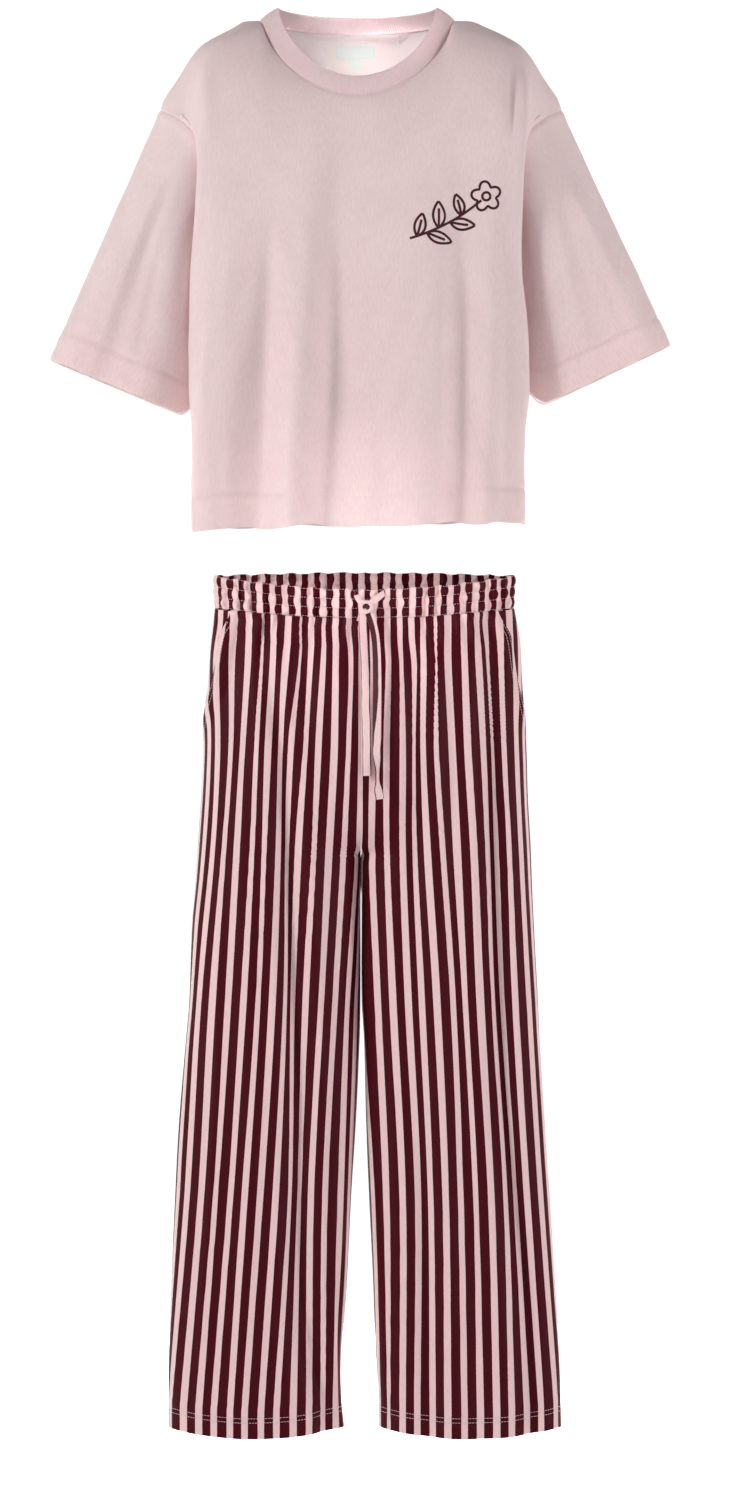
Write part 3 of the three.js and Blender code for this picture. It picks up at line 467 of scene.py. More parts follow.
def merged(name, parts, material):
    """One object of several closed parts."""
    points, corners, places, uvs = [], [], [], []
    at = uv_at = 0
    for part in parts:
        points.append(part[0])
        corners.append(np.where(part[1] < 0, -1, part[1] + at))
        places.append(np.where(part[2] < 0, -1, part[2] + uv_at))
        uvs.append(part[3])
        at += len(part[0])
        uv_at += len(part[3])
    stacked = [np.concatenate(x) for x in (points, corners, places, uvs)]
    return new_object(name, stacked[0], (stacked[1], stacked[2]), stacked[3], [material])


def strip_parts(path, normals, width, lift, sink):
    """A thin closed strip along a path on a surface."""
    side = unit(np.cross(np.gradient(path, axis=0), normals))
    across = np.array([-0.5, 0, 0.5]) * width
    raised = np.array([0.6, 1, 0.6]) * lift
    outer = path[:, None] + side[:, None] * across[:, None] + normals[:, None] * raised[:, None]
    inner = path[:, None] + side[:, None] * across[:, None] - normals[:, None] * sink
    run = run_of(path)
    uv = np.stack(np.broadcast_arrays(across[None], run[:, None]), 2)
    return shell_parts(outer, inner, uv)


def stitch_parts(line, normals, pitch, thread=0.5, high=0.35, share=0.78):
    """A row of short raised threads along a line on a surface."""
    run = run_of(line)
    count = max(int(run[-1] / pitch), 1)
    start = (np.arange(count) + 0.5 * (1 - share)) * run[-1] / count
    ends = np.array([0, 0.3, 0.7, 1]) * share * run[-1] / count
    at = start[:, None] + ends[None]
    place = np.stack([np.interp(at, run, c) for c in line.T], -1)
    up = unit(np.stack([np.interp(at, run, c) for c in normals.T], -1))
    along = unit(np.gradient(place, axis=1))
    side = np.cross(along, up)
    lift = np.array([-0.25, high, high, -0.25])[None, :, None]
    corner = np.array([[-0.5, 0], [0, 0.45], [0.5, 0], [0, -0.45]]) * thread
    points = place[:, :, None] + side[:, :, None] * corner[:, :1] + up[:, :, None] * (corner[:,
        1:] + lift[..., None])
    ring, turn = np.meshgrid(np.arange(3), np.arange(4), indexing="ij")
    ring, turn = ring.ravel(), turn.ravel()
    after = (turn + 1) % 4
    faces = np.stack([ring * 4 + turn, ring * 4 + 4 + turn, ring * 4 + 4 + after, ring * 4 + after], 1)
    faces = np.concatenate([faces, [[0, 1, 2, 3], [15, 14, 13, 12]]])
    corners = (faces[None] + 16 * np.arange(count)[:, None, None]).reshape(-1, 4)
    flat = points.reshape(-1, 3)
    a, b, d, e = [flat[corners[:14, k]] - flat[:16].mean(0) for k in range(4)]
    if np.einsum("ij,ij->", a, np.cross(b, d)) + np.einsum("ij,ij->", a, np.cross(d, e)) < 0:
        corners = corners[:, ::-1]
    uvs = np.stack([np.tile(corner[:, 0], count * 4), np.repeat(at.ravel(), 4)], 1)
    return flat, corners, corners, uvs, None


def down_columns(values, level, *grids):
    """Points of each grid where the values down every column pass a level."""
    turn = slice(None, None, 1 if values[-1].mean() > values[0].mean() else -1)
    found = []
    for grid in grids:
        columns = range(grid.shape[1])
        found.append(np.array([[np.interp(level, values[turn, c], grid[turn, c, k]) for k in range(3)]
            for c in columns]))
    return found


def along_rows(values, level, *grids):
    return down_columns(values.T, level, *[grid.transpose(1, 0, 2) for grid in grids])


def tree_of(thing):
    mesh = thing.data
    return BVHTree.FromPolygons([v.co.copy() for v in mesh.vertices], [tuple(p.vertices)
        for p in mesh.polygons])


pieces = []


def finish_piece(thing, slot, *nodes):
    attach(thing, "root")
    if nodes:
        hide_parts(*nodes)
    pieces.append(thing)
    return thing


# The tee

JERSEY = 1.8
RIB = 2.4
TWILL = 1.5
SEAM = 0.3
TEE_TIP_Z = -103
TEE_NECK = dict(x=-4.6, half=111, front=78, back=56, rise=1, front_drop=92.7, back_drop=10.3)
NECKBAND = dict(x=-4.2, half=93, front=71, back=51, rise=17, front_drop=87, back_drop=7.4)
ARM_COLUMNS, SHOULDER_COLUMNS, NECK_COLUMNS = 6, 5, 5
TEE_COLUMNS = 2 * (ARM_COLUMNS + SHOULDER_COLUMNS + NECK_COLUMNS)
TEE_JOIN_Z = -300
TEE_SECTIONS = [
    # z, centre x, half width, front depth, back depth, exponent, groove share, groove width
    [-300, -6, 219, 102, 92, 3.0, 0.26, 48],
    [-380, -4.5, 220, 101, 92, 3.0, 0.25, 46],
    [-430, -4, 216, 99, 91, 2.9, 0.2, 42],
    [-480, -4, 203, 97, 90, 2.7, 0.08, 36],
    [-530, -4, 194, 96, 90, 2.6, 0, 36],
    [-597, -3, 194, 96, 91, 2.6, 0, 36],
]
BACK_HEM_LIFT = 7
HEM_RISE = 9
TEE_FOLDS = [
    # x and z of the top, x and z of the bottom, height, width
    [-80, -150, -104, -530, 5, 24],
    [-39, -190, -58, -600, -11, 17],
    [-137, -330, -141, -600, -7, 20],
    [-188, -330, -186, -600, 4, 14],
    [8, -260, -8, -600, 3, 14],
    [52, -300, 46, -600, 6, 26],
    [112, -180, 104, -600, -8, 17],
    [140, -250, 137, -600, 5, 15],
    [160, -170, 158, -600, -5, 11],
]
TEE_BACK_FOLDS = [
    [-120, -170, -138, -600, 6, 24],
    [-70, -240, -84, -600, -8, 19],
    [-10, -200, -22, -600, 5, 26],
    [38, -280, 34, -600, -9, 18],
    [88, -190, 97, -600, 6, 21],
    [142, -300, 148, -600, -6, 17],
]
CAP_FOLDS = [
    [-196, -48, -214, -122, -5, 9],
    [178, -48, 176, -150, -8, 8],
    [-178, -60, -176, -160, 4, 9],
    [190, -50, 187, -150, 5, 9],
]


def fold_height(folds, x, z):
    height = 0 * x
    for x0, z0, x1, z1, high, wide in folds:
        t = (z - z0) / (z1 - z0)
        swell = ease(-0.12, 0.45, t) * (1 if z1 < -500 else 1 - ease(0.6, 1.15, t))
        height = height + high * swell * bell(x - (x0 + (x1 - x0) * t), wide)
    return height


def tee_half(z, side):
    centre, half, front, back, exponent, groove, wide = look_up(TEE_SECTIONS, z)[0]
    depth = front if side < 0 else back
    angle = np.linspace(0, math.pi, 161)
    y = side * depth * np.sin(angle).clip(0) ** (2 / exponent)
    x = -half * power(np.cos(angle), 2 / exponent)
    return np.stack([centre + x * (1 - groove * bell(y, wide)), y, np.full(161, z)], 1)


ARMHOLE = {
    -1: [
        [168, 0, -262],
        [169, -28, -247],
        [171, -50, -215],
        [176, -62, -178],
        [189, -62, -142],
        [212, -38, -117],
        [234.5, 0, TEE_TIP_Z],
    ],
    1: [
        [168, 0, -262],
        [169, 27, -246],
        [171, 47, -213],
        [177, 57, -176],
        [190, 57, -142],
        [213, 36, -118],
        [234.5, 0, TEE_TIP_Z],
    ],
}
SHOULDER = [
    [234.5, TEE_TIP_Z],
    [230.5, -91],
    [215, -68],
    [199, -42],
    [187, -28],
    [167, -16],
    [145, -6],
    [131, 0],
    [110, 1],
]


def neck_point(neck, turn):
    """A point of the neckline or of the band on it: turn 0 is the wearer's left, a quarter turn back
    the front."""
    front = np.sin(turn) < 0
    depth = np.where(front, neck["front"], neck["back"])
    drop = np.where(front, neck["front_drop"], neck["back_drop"])
    deep = np.abs(np.sin(turn))
    return np.stack(
        [neck["x"] + neck["half"] * np.cos(turn), np.sin(turn) * depth, neck["rise"] - drop * deep**1.25], -1
    )


def tee_edge(side, fine=1):
    """The upper edge of the front or back panel from the right underarm over both shoulders to the
    left one."""
    arm = smooth_line(ARMHOLE[side])
    shoulder = smooth_line([[x, side * SEAM * 0.5, z] for x, z in SHOULDER])
    neck = neck_point(TEE_NECK, side * np.linspace(0, 1, 61) * math.pi * 0.5)
    neck[0, 1] = side * SEAM * 0.5
    counts = [ARM_COLUMNS * fine, SHOULDER_COLUMNS * fine, NECK_COLUMNS * fine]
    lines = [resample(line, np.linspace(0, 1, n + 1)) for line, n in zip([arm, shoulder, neck], counts)]
    half = np.concatenate([lines[0], lines[1][1:], lines[2][1:]])
    half[counts[0], 1] = side * SEAM * 0.5
    right = half.copy()
    right[:, 0] = 2 * TEE_NECK["x"] * ease(165, 112, half[:, 0]) - half[:, 0]
    right[-1] = half[-1]
    return np.concatenate([right, half[:-1][::-1]])


YOKE = [
    # place along the edge, then x, depth and z of the top of the chest
    [3, 186, 71, -176],
    [4, 189, 76, -170],
    [5, 190, 80, -165],
    [6, 190, 83, -161],
    [7, 186, 87, -157],
    [8, 176, 91, -154],
    [9, 158, 94, -152],
    [10, 136, 96, -151],
    [11, 112, 97, -151],
    [13.5, 58, 98, -153],
    [16, -5, 98, -154],
]
QUARTER_TURNS = np.radians([0, 24, 47, 69, 90])
CHEST_STEPS = np.array([0.36, 0.68, 1])
ARM_STEPS = np.array([0, 0.1, 0.2, 0.3, 0.42, 0.6, 0.8, 1])
LOWER_Z = [-348, -396, -440, -486, -532, -570, -597]
LEAVE = [[0, 0, -1], [0.1, 0.15, -0.95], [0.25, 0.45, -0.85]]


def tee_column(start, chest, fall, place, side):
    if place < 3:
        span = np.linalg.norm(start - chest)
        away = np.array([np.sign(start[0]) * LEAVE[place][0], side * LEAVE[place][1], LEAVE[place][2]])
        return hermite(start, chest, away * span * 0.8, fall * span * 0.9, ARM_STEPS[:, None])
    x, depth, z = look_up(YOKE, place)[0]
    right_x = 2 * TEE_NECK["x"] * ease(170, 60, x) - x
    yoke = np.array([right_x if start[0] < TEE_NECK["x"] else x,
        side * (depth if side < 0 else depth * 0.9), z])
    rounded = 1 - 0.55 * ease(8.5, 13.5, place)
    shares = np.stack([np.sin(QUARTER_TURNS) ** 0.85, np.sin(QUARTER_TURNS), 1 - np.cos(QUARTER_TURNS)], 1)
    plainly = (QUARTER_TURNS / QUARTER_TURNS[-1])[:, None]
    cap = start + (yoke - start) * (plainly + (shares - plainly) * rounded)
    span = np.linalg.norm(yoke - chest)
    slope = np.array([0, side * 0.13 * ease(7, 13, place), -1])
    down = hermite(yoke, chest, slope * span, fall * span, CHEST_STEPS[:, None])
    return np.concatenate([cap, down])


def tee_grid(side):
    edge = tee_edge(side)
    shares = np.linspace(0, 1, TEE_COLUMNS + 1)
    chest = resample(tee_half(TEE_JOIN_Z, side), shares)
    under = resample(tee_half(TEE_JOIN_Z - 20, side), shares)
    columns = [
        tee_column(edge[c], chest[c], (under[c] - chest[c]) / 20, min(c, TEE_COLUMNS - c), side)
        for c in range(TEE_COLUMNS + 1)
    ]
    upper = np.stack(columns, 1)
    lower = []
    for z in LOWER_Z:
        row = resample(tee_half(z, side), shares)
        row[:, 2] += HEM_RISE * ease(-430, LOWER_Z[-1], z) * (0.5 + row[:, 0] / 390)
        lower.append(row)
    return np.concatenate([upper, np.array(lower)])


# The lower front's soft folds across, as heights at places across, and how far the folds lean
LOWER_FRONT = [
    [-225, 0], [-198, 1], [-183, 4], [-166, 2], [-140, -6], [-120, -9], [-100, -2], [-82, 7], [-71, 8],
    [-58, 2], [-42, -8], [-28, -9.5], [0, -5.5], [30, 0], [58, 5], [73, 6], [88, 2], [106, -6], [121, -7],
    [134, -2.5], [147, 2], [158, 0.5], [168, -1], [178, 0.5], [188, 3], [204, 1], [225, 0],
]


def lower_front(x, z):
    lean = blend(20, 8, ease(-60, 60, x)) * (z + 500) / 350
    return look_up(LOWER_FRONT, (x - lean).ravel())[:, 0].reshape(x.shape)


FINE = 5  # fine columns to each of the solid's columns, on the tee
TEE_ROWS = 150
TEE_HEM = 39  # from the hem's edge up to its stitching
SLEEVE_HEM = 35

# Small soft creases that the larger folds carry: x and z of the top, x and z of the bottom, height, width
TEE_CREASES = [
    [-150, -200, -162, -470, 1.6, 8],
    [-104, -230, -118, -590, -1.8, 9],
    [-72, -330, -84, -600, 1.8, 8],
    [-22, -330, -32, -600, 2.2, 8],
    [20, -400, 24, -600, -2.4, 9],
    [74, -380, 78, -600, -2.2, 10],
    [92, -250, 88, -600, 1.6, 7],
    [128, -330, 122, -600, 1.8, 7],
    [150, -420, 150, -600, -1.6, 6],
    [-168, -420, -164, -600, -1.8, 7],
    [-8, -110, -40, -260, -1.5, 14],
    [60, -100, 84, -240, -1.4, 12],
]
TEE_BACK_CREASES = [
    [-160, -230, -170, -600, -2.0, 9],
    [-102, -260, -108, -600, 1.8, 8],
    [-46, -320, -52, -600, -1.8, 10],
    [10, -300, 6, -600, 2.0, 9],
    [64, -260, 70, -600, -2.0, 9],
    [118, -240, 122, -600, 1.8, 8],
    [168, -300, 168, -600, -1.8, 8],
    [-30, -90, -64, -240, -1.8, 14],
    [40, -90, 66, -240, -1.6, 13],
]


def column_run(grid):
    """How far along its column each point lies, from the top."""
    steps = np.linalg.norm(np.diff(grid, axis=0), axis=2)
    return np.concatenate([np.zeros((1, grid.shape[1])), np.cumsum(steps, 0)])


def row_run(grid):
    steps = np.linalg.norm(np.diff(grid, axis=1), axis=2)
    return np.concatenate([np.zeros((grid.shape[0], 1)), np.cumsum(steps, 1)], 1)


def tee_surface(side):
    """The fine outer surface of the front or back panel, its columns and its places on the cut."""
    coarse = tee_grid(side)
    stops = column_run(coarse)[:, 3:-3].mean(1)
    fine_stops = np.linspace(0, stops[-1], TEE_ROWS + 1)
    columns = np.linspace(0, TEE_COLUMNS, TEE_COLUMNS * FINE + 1)
    grid = refine(stops, coarse, fine_stops)
    grid = refine(np.arange(TEE_COLUMNS + 1), grid.transpose(1, 0, 2), columns).transpose(1, 0, 2)
    edge = tee_edge(side, FINE)
    settle = 1 - ease(0, 26, fine_stops)[:, None, None]
    grid = grid + (edge - grid[0]) * settle
    grid[0] = edge
    from_side = np.minimum(columns, TEE_COLUMNS - columns)
    at_row = np.interp(fine_stops, stops, np.arange(len(stops)))[:, None]
    calm = ease(0, 3, from_side) * ease(0, 2, at_row)
    x, z = grid[..., 0], grid[..., 2]
    main = TEE_FOLDS + CAP_FOLDS if side < 0 else TEE_BACK_FOLDS
    small = TEE_CREASES if side < 0 else TEE_BACK_CREASES
    deep = fold_height(main, x, z)
    if side < 0:
        deep = blend(deep, 1.7 * lower_front(x, z), ease(-70, -440, z))
    height = (deep * (1 if side < 0 else 1.3) + fold_height(small, x, z)) * calm
    height = height + rumple(x + 400, z + 900, 46, 3 + side) * 0.7 * calm
    hem_fold = fold_height(main, x[-1], z[-1])
    last = ease(len(stops) - 2, len(stops) - 1, at_row)
    drop = -hem_fold * 0.35 + (BACK_HEM_LIFT if side > 0 else 0)
    normals = normals_of(grid, turn=side)
    grid = grid + normals * height[..., None]
    grid[..., 2] += drop * ease(0, 3, from_side) * last
    # the hem is turned up and stitched; the seams' edges are drawn in
    run = column_run(grid)
    up = run[-1] - run
    relief = 0.5 * ease(TEE_HEM + 2, TEE_HEM - 2, up) - 1.1 * bell(up - TEE_HEM, 1.8) - 0.9 * bell(up, 2.2)
    in_arm = from_side < ARM_COLUMNS
    in_shoulder = (from_side >= ARM_COLUMNS) & (from_side <= ARM_COLUMNS + SHOULDER_COLUMNS)
    deep = np.where(in_arm, 1.3, np.where(in_shoulder, 0.9, 1.2))
    relief = relief - deep * bell(run, 2.4) * ease(0, 1.5, run + 1.5) + 0.5 * bell(run - 7, 4)
    across = row_run(grid)
    beside = np.minimum(across, across[:, -1:] - across)
    relief = relief - 0.9 * bell(beside, 2.0) * ease(4, 12, run)
    normals = normals_of(grid, turn=side)
    relief[0] = 0
    grid = grid + normals * relief[..., None]
    grid[0] = edge
    normals = normals_of(grid, turn=side)
    straight = unit(normals * [1, 0, 1])
    normals[1:, 0], normals[1:, -1] = straight[1:, 0], straight[1:, -1]
    uv = np.stack([x, -run], 2)
    wide = row_run(grid)
    uv[..., 0] = (wide - wide[:, -1:] / 2)
    return grid, normals, uv


def tee_panel(side, name):
    grid, normals, uv = tee_surface(side)
    inner = grid - normals * JERSEY * 0.8
    gap = side * SEAM * 0.5
    for g in (grid, inner):
        g[1:, 0, 1] += gap
        g[1:, -1, 1] += gap
    thing = shell(name + "_cloth", grid, inner, uv, [JERSEY_CLOTH, JERSEY_INSIDE_PAINTED_LIGHT])
    return finish_piece(thing, "jersey", name), grid, normals


tee_front, tee_front_grid, tee_front_normals = tee_panel(-1, "tee_front")
tee_back, tee_back_grid, tee_back_normals = tee_panel(1, "tee_back")

# The sleeves

SLEEVE_ROWS = 76
SLEEVE_HEMS = {
    1: dict(x=272, z=-421, half=90, depth=38, rise=0.465, lift=46, lowest=0.6),
    -1: dict(x=275, z=-433, half=89, depth=38, rise=0.415, lift=34, lowest=0.68),
}
SLEEVE_START = -1.6
SLEEVE_FOLDS = [
    # share round the sleeve (0 is the shoulder tip, 0.25 the front), height, width
    [0.12, 4, 0.035],
    [0.2, -6, 0.035],
    [0.3, 5, 0.04],
    [0.68, 6, 0.05],
    [0.82, -6, 0.04],
]
SLEEVE_CREASES = {
    # share round at the top and at the hem, height, width, and where along the sleeve it begins and ends
    1: [
        [0.06, 0.09, 1.8, 0.014, 0.1, 1.2],
        [0.16, 0.15, -1.6, 0.012, 0.2, 1.2],
        [0.26, 0.235, 2.0, 0.014, 0.3, 1.2],
        [0.38, 0.36, -2.4, 0.018, 0.0, 0.7],
        [0.62, 0.6, -2.2, 0.016, 0.1, 1.2],
        [0.76, 0.75, 1.8, 0.014, 0.2, 1.2],
        [0.9, 0.88, -1.6, 0.014, 0.1, 1.2],
    ],
    -1: [
        [0.05, 0.07, -1.6, 0.014, 0.1, 1.2],
        [0.15, 0.17, 1.7, 0.012, 0.1, 1.2],
        [0.25, 0.25, -1.8, 0.014, 0.3, 1.2],
        [0.36, 0.34, 2.2, 0.018, 0.0, 0.8],
        [0.64, 0.62, 2.0, 0.016, 0.1, 1.2],
        [0.74, 0.76, -1.8, 0.014, 0.2, 1.2],
        [0.92, 0.9, 1.5, 0.014, 0.1, 1.2],
    ],
}


def doubled(loop):
    """A loop's corners with the middle of each side between them."""
    middle = (loop + np.roll(loop, -1, 0)) / 2
    return np.stack([loop, middle], 1).reshape(-1, 3)


def sleeve_surface(leg):
    hem = SLEEVE_HEMS[leg]
    arms = []
    for side in (-1, 1):
        edge = tee_edge(side, FINE)
        arm = edge[-ARM_COLUMNS * FINE - 1 :] if leg > 0 else edge[: ARM_COLUMNS * FINE + 1][::-1]
        arms.append(np.abs(arm) * [1, 0, 0] + arm * [0, 1, 1])
    front, back = arms
    loop = np.concatenate([front, back[1:-1][::-1]])
    loop[0, 1] = 0
    loop = doubled(loop)
    columns = len(loop)
    share = np.arange(columns) / columns
    turn = share * 2 * math.pi
    along = np.cos(turn)
    drawn = np.maximum(-hem["lowest"] - along, 0) / (1 - hem["lowest"])
    end = np.stack(
        [
            hem["x"] + along * hem["half"],
            -np.sin(turn) * hem["depth"],
            hem["z"] + along * hem["half"] * hem["rise"] + hem["lift"] * drawn**1.5,
        ],
        1,
    )
    low = (0.5 - 0.5 * along)[:, None]
    span = np.linalg.norm(loop - end, axis=1)[:, None]
    leave = unit(blend(np.array([0.41, 0, -0.91]), np.array([0.9, 0, -0.3]), ease(0, 0.7, low)))
    start = loop + leave * SLEEVE_START
    t = np.linspace(0, 1, SLEEVE_ROWS + 1)[:, None, None]
    grid = hermite(start, end, leave * span * (1 - 0.45 * low), np.array([0.4, 0, -0.91]) * span, t)
    swell = ease(0, 0.5, t[..., 0])
    height = sum(high * swell * bell(share - at, wide) for at, high, wide in SLEEVE_FOLDS)
    for top, bottom, high, wide, begin, stop in SLEEVE_CREASES[leg]:
        at = top + (bottom - top) * t[..., 0]
        fade = ease(begin, begin + 0.35, t[..., 0]) * (1 - ease(stop - 0.3, stop, t[..., 0]))
        height = height + high * fade * bell(share - at, wide)
    run = column_run(grid)
    up = run[-1] - run
    height = height + rumple(share * 560, run + 70, 40, 21 + leg) * 0.7 * swell
    height = height + 0.5 * ease(SLEEVE_HEM + 2, SLEEVE_HEM - 2, up)
    height = height - 1.1 * bell(up - SLEEVE_HEM, 1.8) - 0.9 * bell(up, 2.2)
    height = height - 1.5 * bell(run, 2.6) + 0.9 * bell(run - 8, 4.5)
    grid = grid + normals_of(grid, True) * height[..., None]
    return grid, share, run


def sleeve(leg, name):
    grid, share, run = sleeve_surface(leg)
    normals = normals_of(grid, True)
    inner = grid - normals * JERSEY * 0.8
    around = np.linalg.norm(np.roll(grid, -1, 1) - grid, axis=2).sum(1)
    wide = np.linspace(0, 1, grid.shape[1] + 1)[None, :] * around[:, None]
    long = np.concatenate([run, run[:, :1]], 1)
    for g in (grid, inner, normals):
        g[..., 0] *= leg
    thing = shell(name + "_cloth", grid, inner, np.stack([wide, -long], 2), [JERSEY_CLOTH, JERSEY_INSIDE_PAINTED_LIGHT],
        True)
    return finish_piece(thing, "jersey", name), grid, normals


sleeve_left, sleeve_left_grid, sleeve_left_normals = sleeve(1, "sleeve_left")
sleeve_right, sleeve_right_grid, sleeve_right_normals = sleeve(-1, "sleeve_right")

# The neckband: ribs stand across its height

BAND_ROWS_NECK = 14
RIBS = 220
BAND_FINE = 8  # columns to each rib


def neck_ring():
    first = (ARM_COLUMNS + SHOULDER_COLUMNS) * FINE
    count = 2 * NECK_COLUMNS * FINE + 1
    front, back = [tee_edge(side, FINE)[first : first + count] for side in (-1, 1)]
    loop = np.concatenate([back[::-1], front[1:-1]])
    loop = np.concatenate([loop, loop[:1]])
    loop = resample(loop, np.arange(RIBS * BAND_FINE // 2) / (RIBS * BAND_FINE // 2))
    depth = np.where(loop[:, 1] < 0, TEE_NECK["front"], TEE_NECK["back"])
    turn = np.arctan2(loop[:, 1] / depth, (loop[:, 0] - TEE_NECK["x"]) / TEE_NECK["half"])
    high = neck_point(NECKBAND, turn)
    start = loop - unit(high - loop) * 1.4
    t = np.linspace(0, 1, BAND_ROWS_NECK + 1)[:, None, None]
    grid = blend(start, high, t)
    out = np.stack([np.cos(turn), np.sin(turn), 0 * turn], 1)
    columns = len(loop)
    rib = np.cos(np.arange(columns) * 2 * math.pi / (BAND_FINE // 2))
    flat = np.sin(math.pi * t)
    folded = np.clip(flat * 2.6, 0, 1)
    tucked = 1.2 * (1 - ease(0, 0.16, t))
    grid = grid + out * (2.2 * flat + 0.28 * rib[None, :, None] * folded - 0.3 - tucked)
    return grid, t


band_grid, band_t = neck_ring()
band_normals = normals_of(band_grid, True)
band_columns = band_grid.shape[1]
band_wide = np.linspace(0, 560, band_columns + 1)[None, :] * np.ones((len(band_grid), 1))
band_long = np.linspace(0, 22, len(band_grid))[:, None] * np.ones((1, band_columns + 1))
neckband = shell(
    "neckband_cloth",
    band_grid,
    band_grid - band_normals * RIB * 0.8,
    np.stack([band_wide, band_long], 2),
    [RIB_CLOTH, RIB_CLOTH],
    True,
)
finish_piece(neckband, "rib_knit", "neckband")

# Strips inside the back neck

back_tree = tree_of(tee_back)


def back_depth(x, z):
    hit = back_tree.ray_cast(Vector((x * 0.001, 0, z * 0.001)), Vector((0, 1, 0)))[0]
    return 70.0 if hit is None else hit.y * 1000


def inner_strip(name, start, end, top_drop, bottom_drop, off, thick, cloth, slot, wave=0.0):
    columns, rows = 24, 8
    share = np.linspace(0, 1, columns + 1)
    x = start + (end - start) * share
    turn = np.arccos((x - TEE_NECK["x"]) / TEE_NECK["half"])
    seam = neck_point(TEE_NECK, turn)[:, 2]
    outer = np.zeros((rows + 1, columns + 1, 3))
    for r in range(rows + 1):
        z = seam - top_drop - (bottom_drop - top_drop) * r / rows
        y = np.array([back_depth(a, b) for a, b in zip(x, z)]) - off
        y = y - wave * math.sin(math.pi * r / rows)
        outer[r] = np.stack([x, y, z], 1)
    inner = outer - [0, thick, 0]
    uv = np.stack([outer[..., 0], outer[..., 2]], 2)
    thing = shell(name + "_cloth", outer, inner, uv, [cloth, cloth])
    return finish_piece(thing, slot, name), outer


neck_tape, tape_grid = inner_strip("neck_tape", -64, 54, 1, 8, 0.5, 0.9, JERSEY_INSIDE_PAINTED_LIGHT, "jersey", 0.4)
hanging_loop, loop_grid = inner_strip("hanging_loop", 32, 44, 2, 12, 1.9, 0.9, JERSEY_INSIDE_PAINTED_LIGHT, "jersey", 1.0)
size_tab, tab_grid = inner_strip("size_tab", -15, 1, 27, 41, 0.3, 0.6, LABEL_CLOTH, "label_cotton", 0.2)
neck_label, label_grid = inner_strip("neck_label", -31, 17, 13, 29, 1.4, 0.7, LABEL_CLOTH, "label_cotton",
    0.3)

# The trousers

WAIST = dict(middle=4, half=176.5, top_z=-648, height=37.5, top_drop=17, bottom_drop=13, back_rise=4.5)
WAVES = 50
HEM_Z = -1643
HEM_DIP = 11
RISE_TOP, CROTCH, CALM = -884, -975, -1085
POCKET_TOP, POCKET_END, POCKET_WIDTH = -690, -850, 33
LEG_COLUMNS = 20
HIP_SECTIONS = [
    # z, centre x, half width, front depth, back depth, exponent
    [-684, 4, 175, 46, 44, 2.25],
    [-723, 5, 181, 62, 62, 2.2],
    [-770, 4.7, 183.7, 72, 76, 2.2],
    [-817, 4, 188, 76, 84, 2.2],
    [-864, 4.6, 189.6, 77, 86, 2.2],
    [-910, 4, 191.3, 76, 84, 2.2],
    [-975, 3.5, 195, 72, 77, 2.2],
    [-1090, 3.5, 201, 64, 66, 2.2],
]
LEG_SECTIONS = [
    # z, right outer x, right inner x, left inner x, left outer x, front depth, back depth, exponent
    [-884, -187, -0.6, 0.6, 195, 68, 76, 2.2],
    [-957, -191, -0.6, 0.6, 199, 65, 71, 2.2],
    [-1004, -194, -0.7, 0.7, 200, 62, 66, 2.2],
    [-1051, -198, -0.7, 0.7, 202, 58, 61, 2.2],
    [-1144, -201, -0.8, 0.8, 207, 53, 54, 2.2],
    [-1191, -205, -1.6, 3.5, 209, 50, 50, 2.2],
    [-1285, -213, -5.8, 5.8, 215, 48, 48, 2.2],
    [-1378, -218, -11.7, 9.4, 221, 47, 46, 2.2],
    [-1472, -222, -16.4, 14, 227, 46, 45, 2.2],
    [-1565, -225.5, -23, 17.5, 233, 45, 44, 2.25],
    [-1612, -225, -22.5, 20.5, 234, 45, 44, 2.3],
    [HEM_Z, -225.5, -19, 20, 235, 45, 44, 2.3],
]
FOLD_Z = [-700, -780, -864, -969, -1086, -1261, -1378, -1495, -1620]
FOLDS = {
    -1: [
        # x of each fold down the leg, its heights there, and its width
        ([-112, -104, -90, -84, -78, -70, -71, -67, -40], [-3, -6, -9, -12, -13, -12, -12, -11, -8], 12),
        ([-98, -96, -70, -60, -55, -46, -46, -42, -20], [3, 4, 5, 6, 6, 6, 6, 5, 4], 13),
        ([-66, -66, -64, -60, -50, -40, -34, -30, -28], [-4, -5, -3, 0, 0, 0, -2, -4, -5], 12),
        ([-150, -146, -140, -136, -132, -128, -130, -134, -140], [-3, -4, -2, 2, 4, 5, 5, 5, 4], 16),
        ([145, 147, 149, 151, 156, 166, 179, 193, 199], [-4, -6, -9, -11, -12, -12, -12, -10, -8], 12),
        ([128, 130, 130, 130, 132, 138, 148, 160, 170], [3, 4, 5, 6, 6, 6, 6, 5, 4], 14),
        ([66, 64, 65, 62, 58, 62, 72, 76, 76], [-4, -5, -5, -5, -2, -2, -6, -7, -6], 12),
        ([90, 88, 88, 88, 88, 92, 98, 104, 108], [2, 3, 4, 5, 5, 5, 5, 5, 5], 13),
    ],
    1: [
        ([-130, -124, -118, -112, -110, -112, -118, -124, -126], [-3, -6, -9, -11, -12, -12, -11, -10, -8],
            12),
        ([-70, -68, -66, -64, -60, -58, -60, -62, -64], [3, 4, 6, 7, 6, 5, 6, 6, 6], 16),
        ([118, 114, 110, 106, 104, 108, 114, 120, 124], [-4, -6, -8, -10, -12, -12, -11, -9, -8], 12),
        ([60, 60, 62, 64, 66, 70, 74, 76, 76], [3, 4, 5, 7, 7, 6, 6, 6, 5], 15),
    ],
}
LEG_FINE = 5  # fine columns to each of the solid's columns
LEG_ROWS = 232
GATHER_FADE = -760
FLAT_QUARTER = 245  # the cut's width from the centre seam to the side seam at the waist


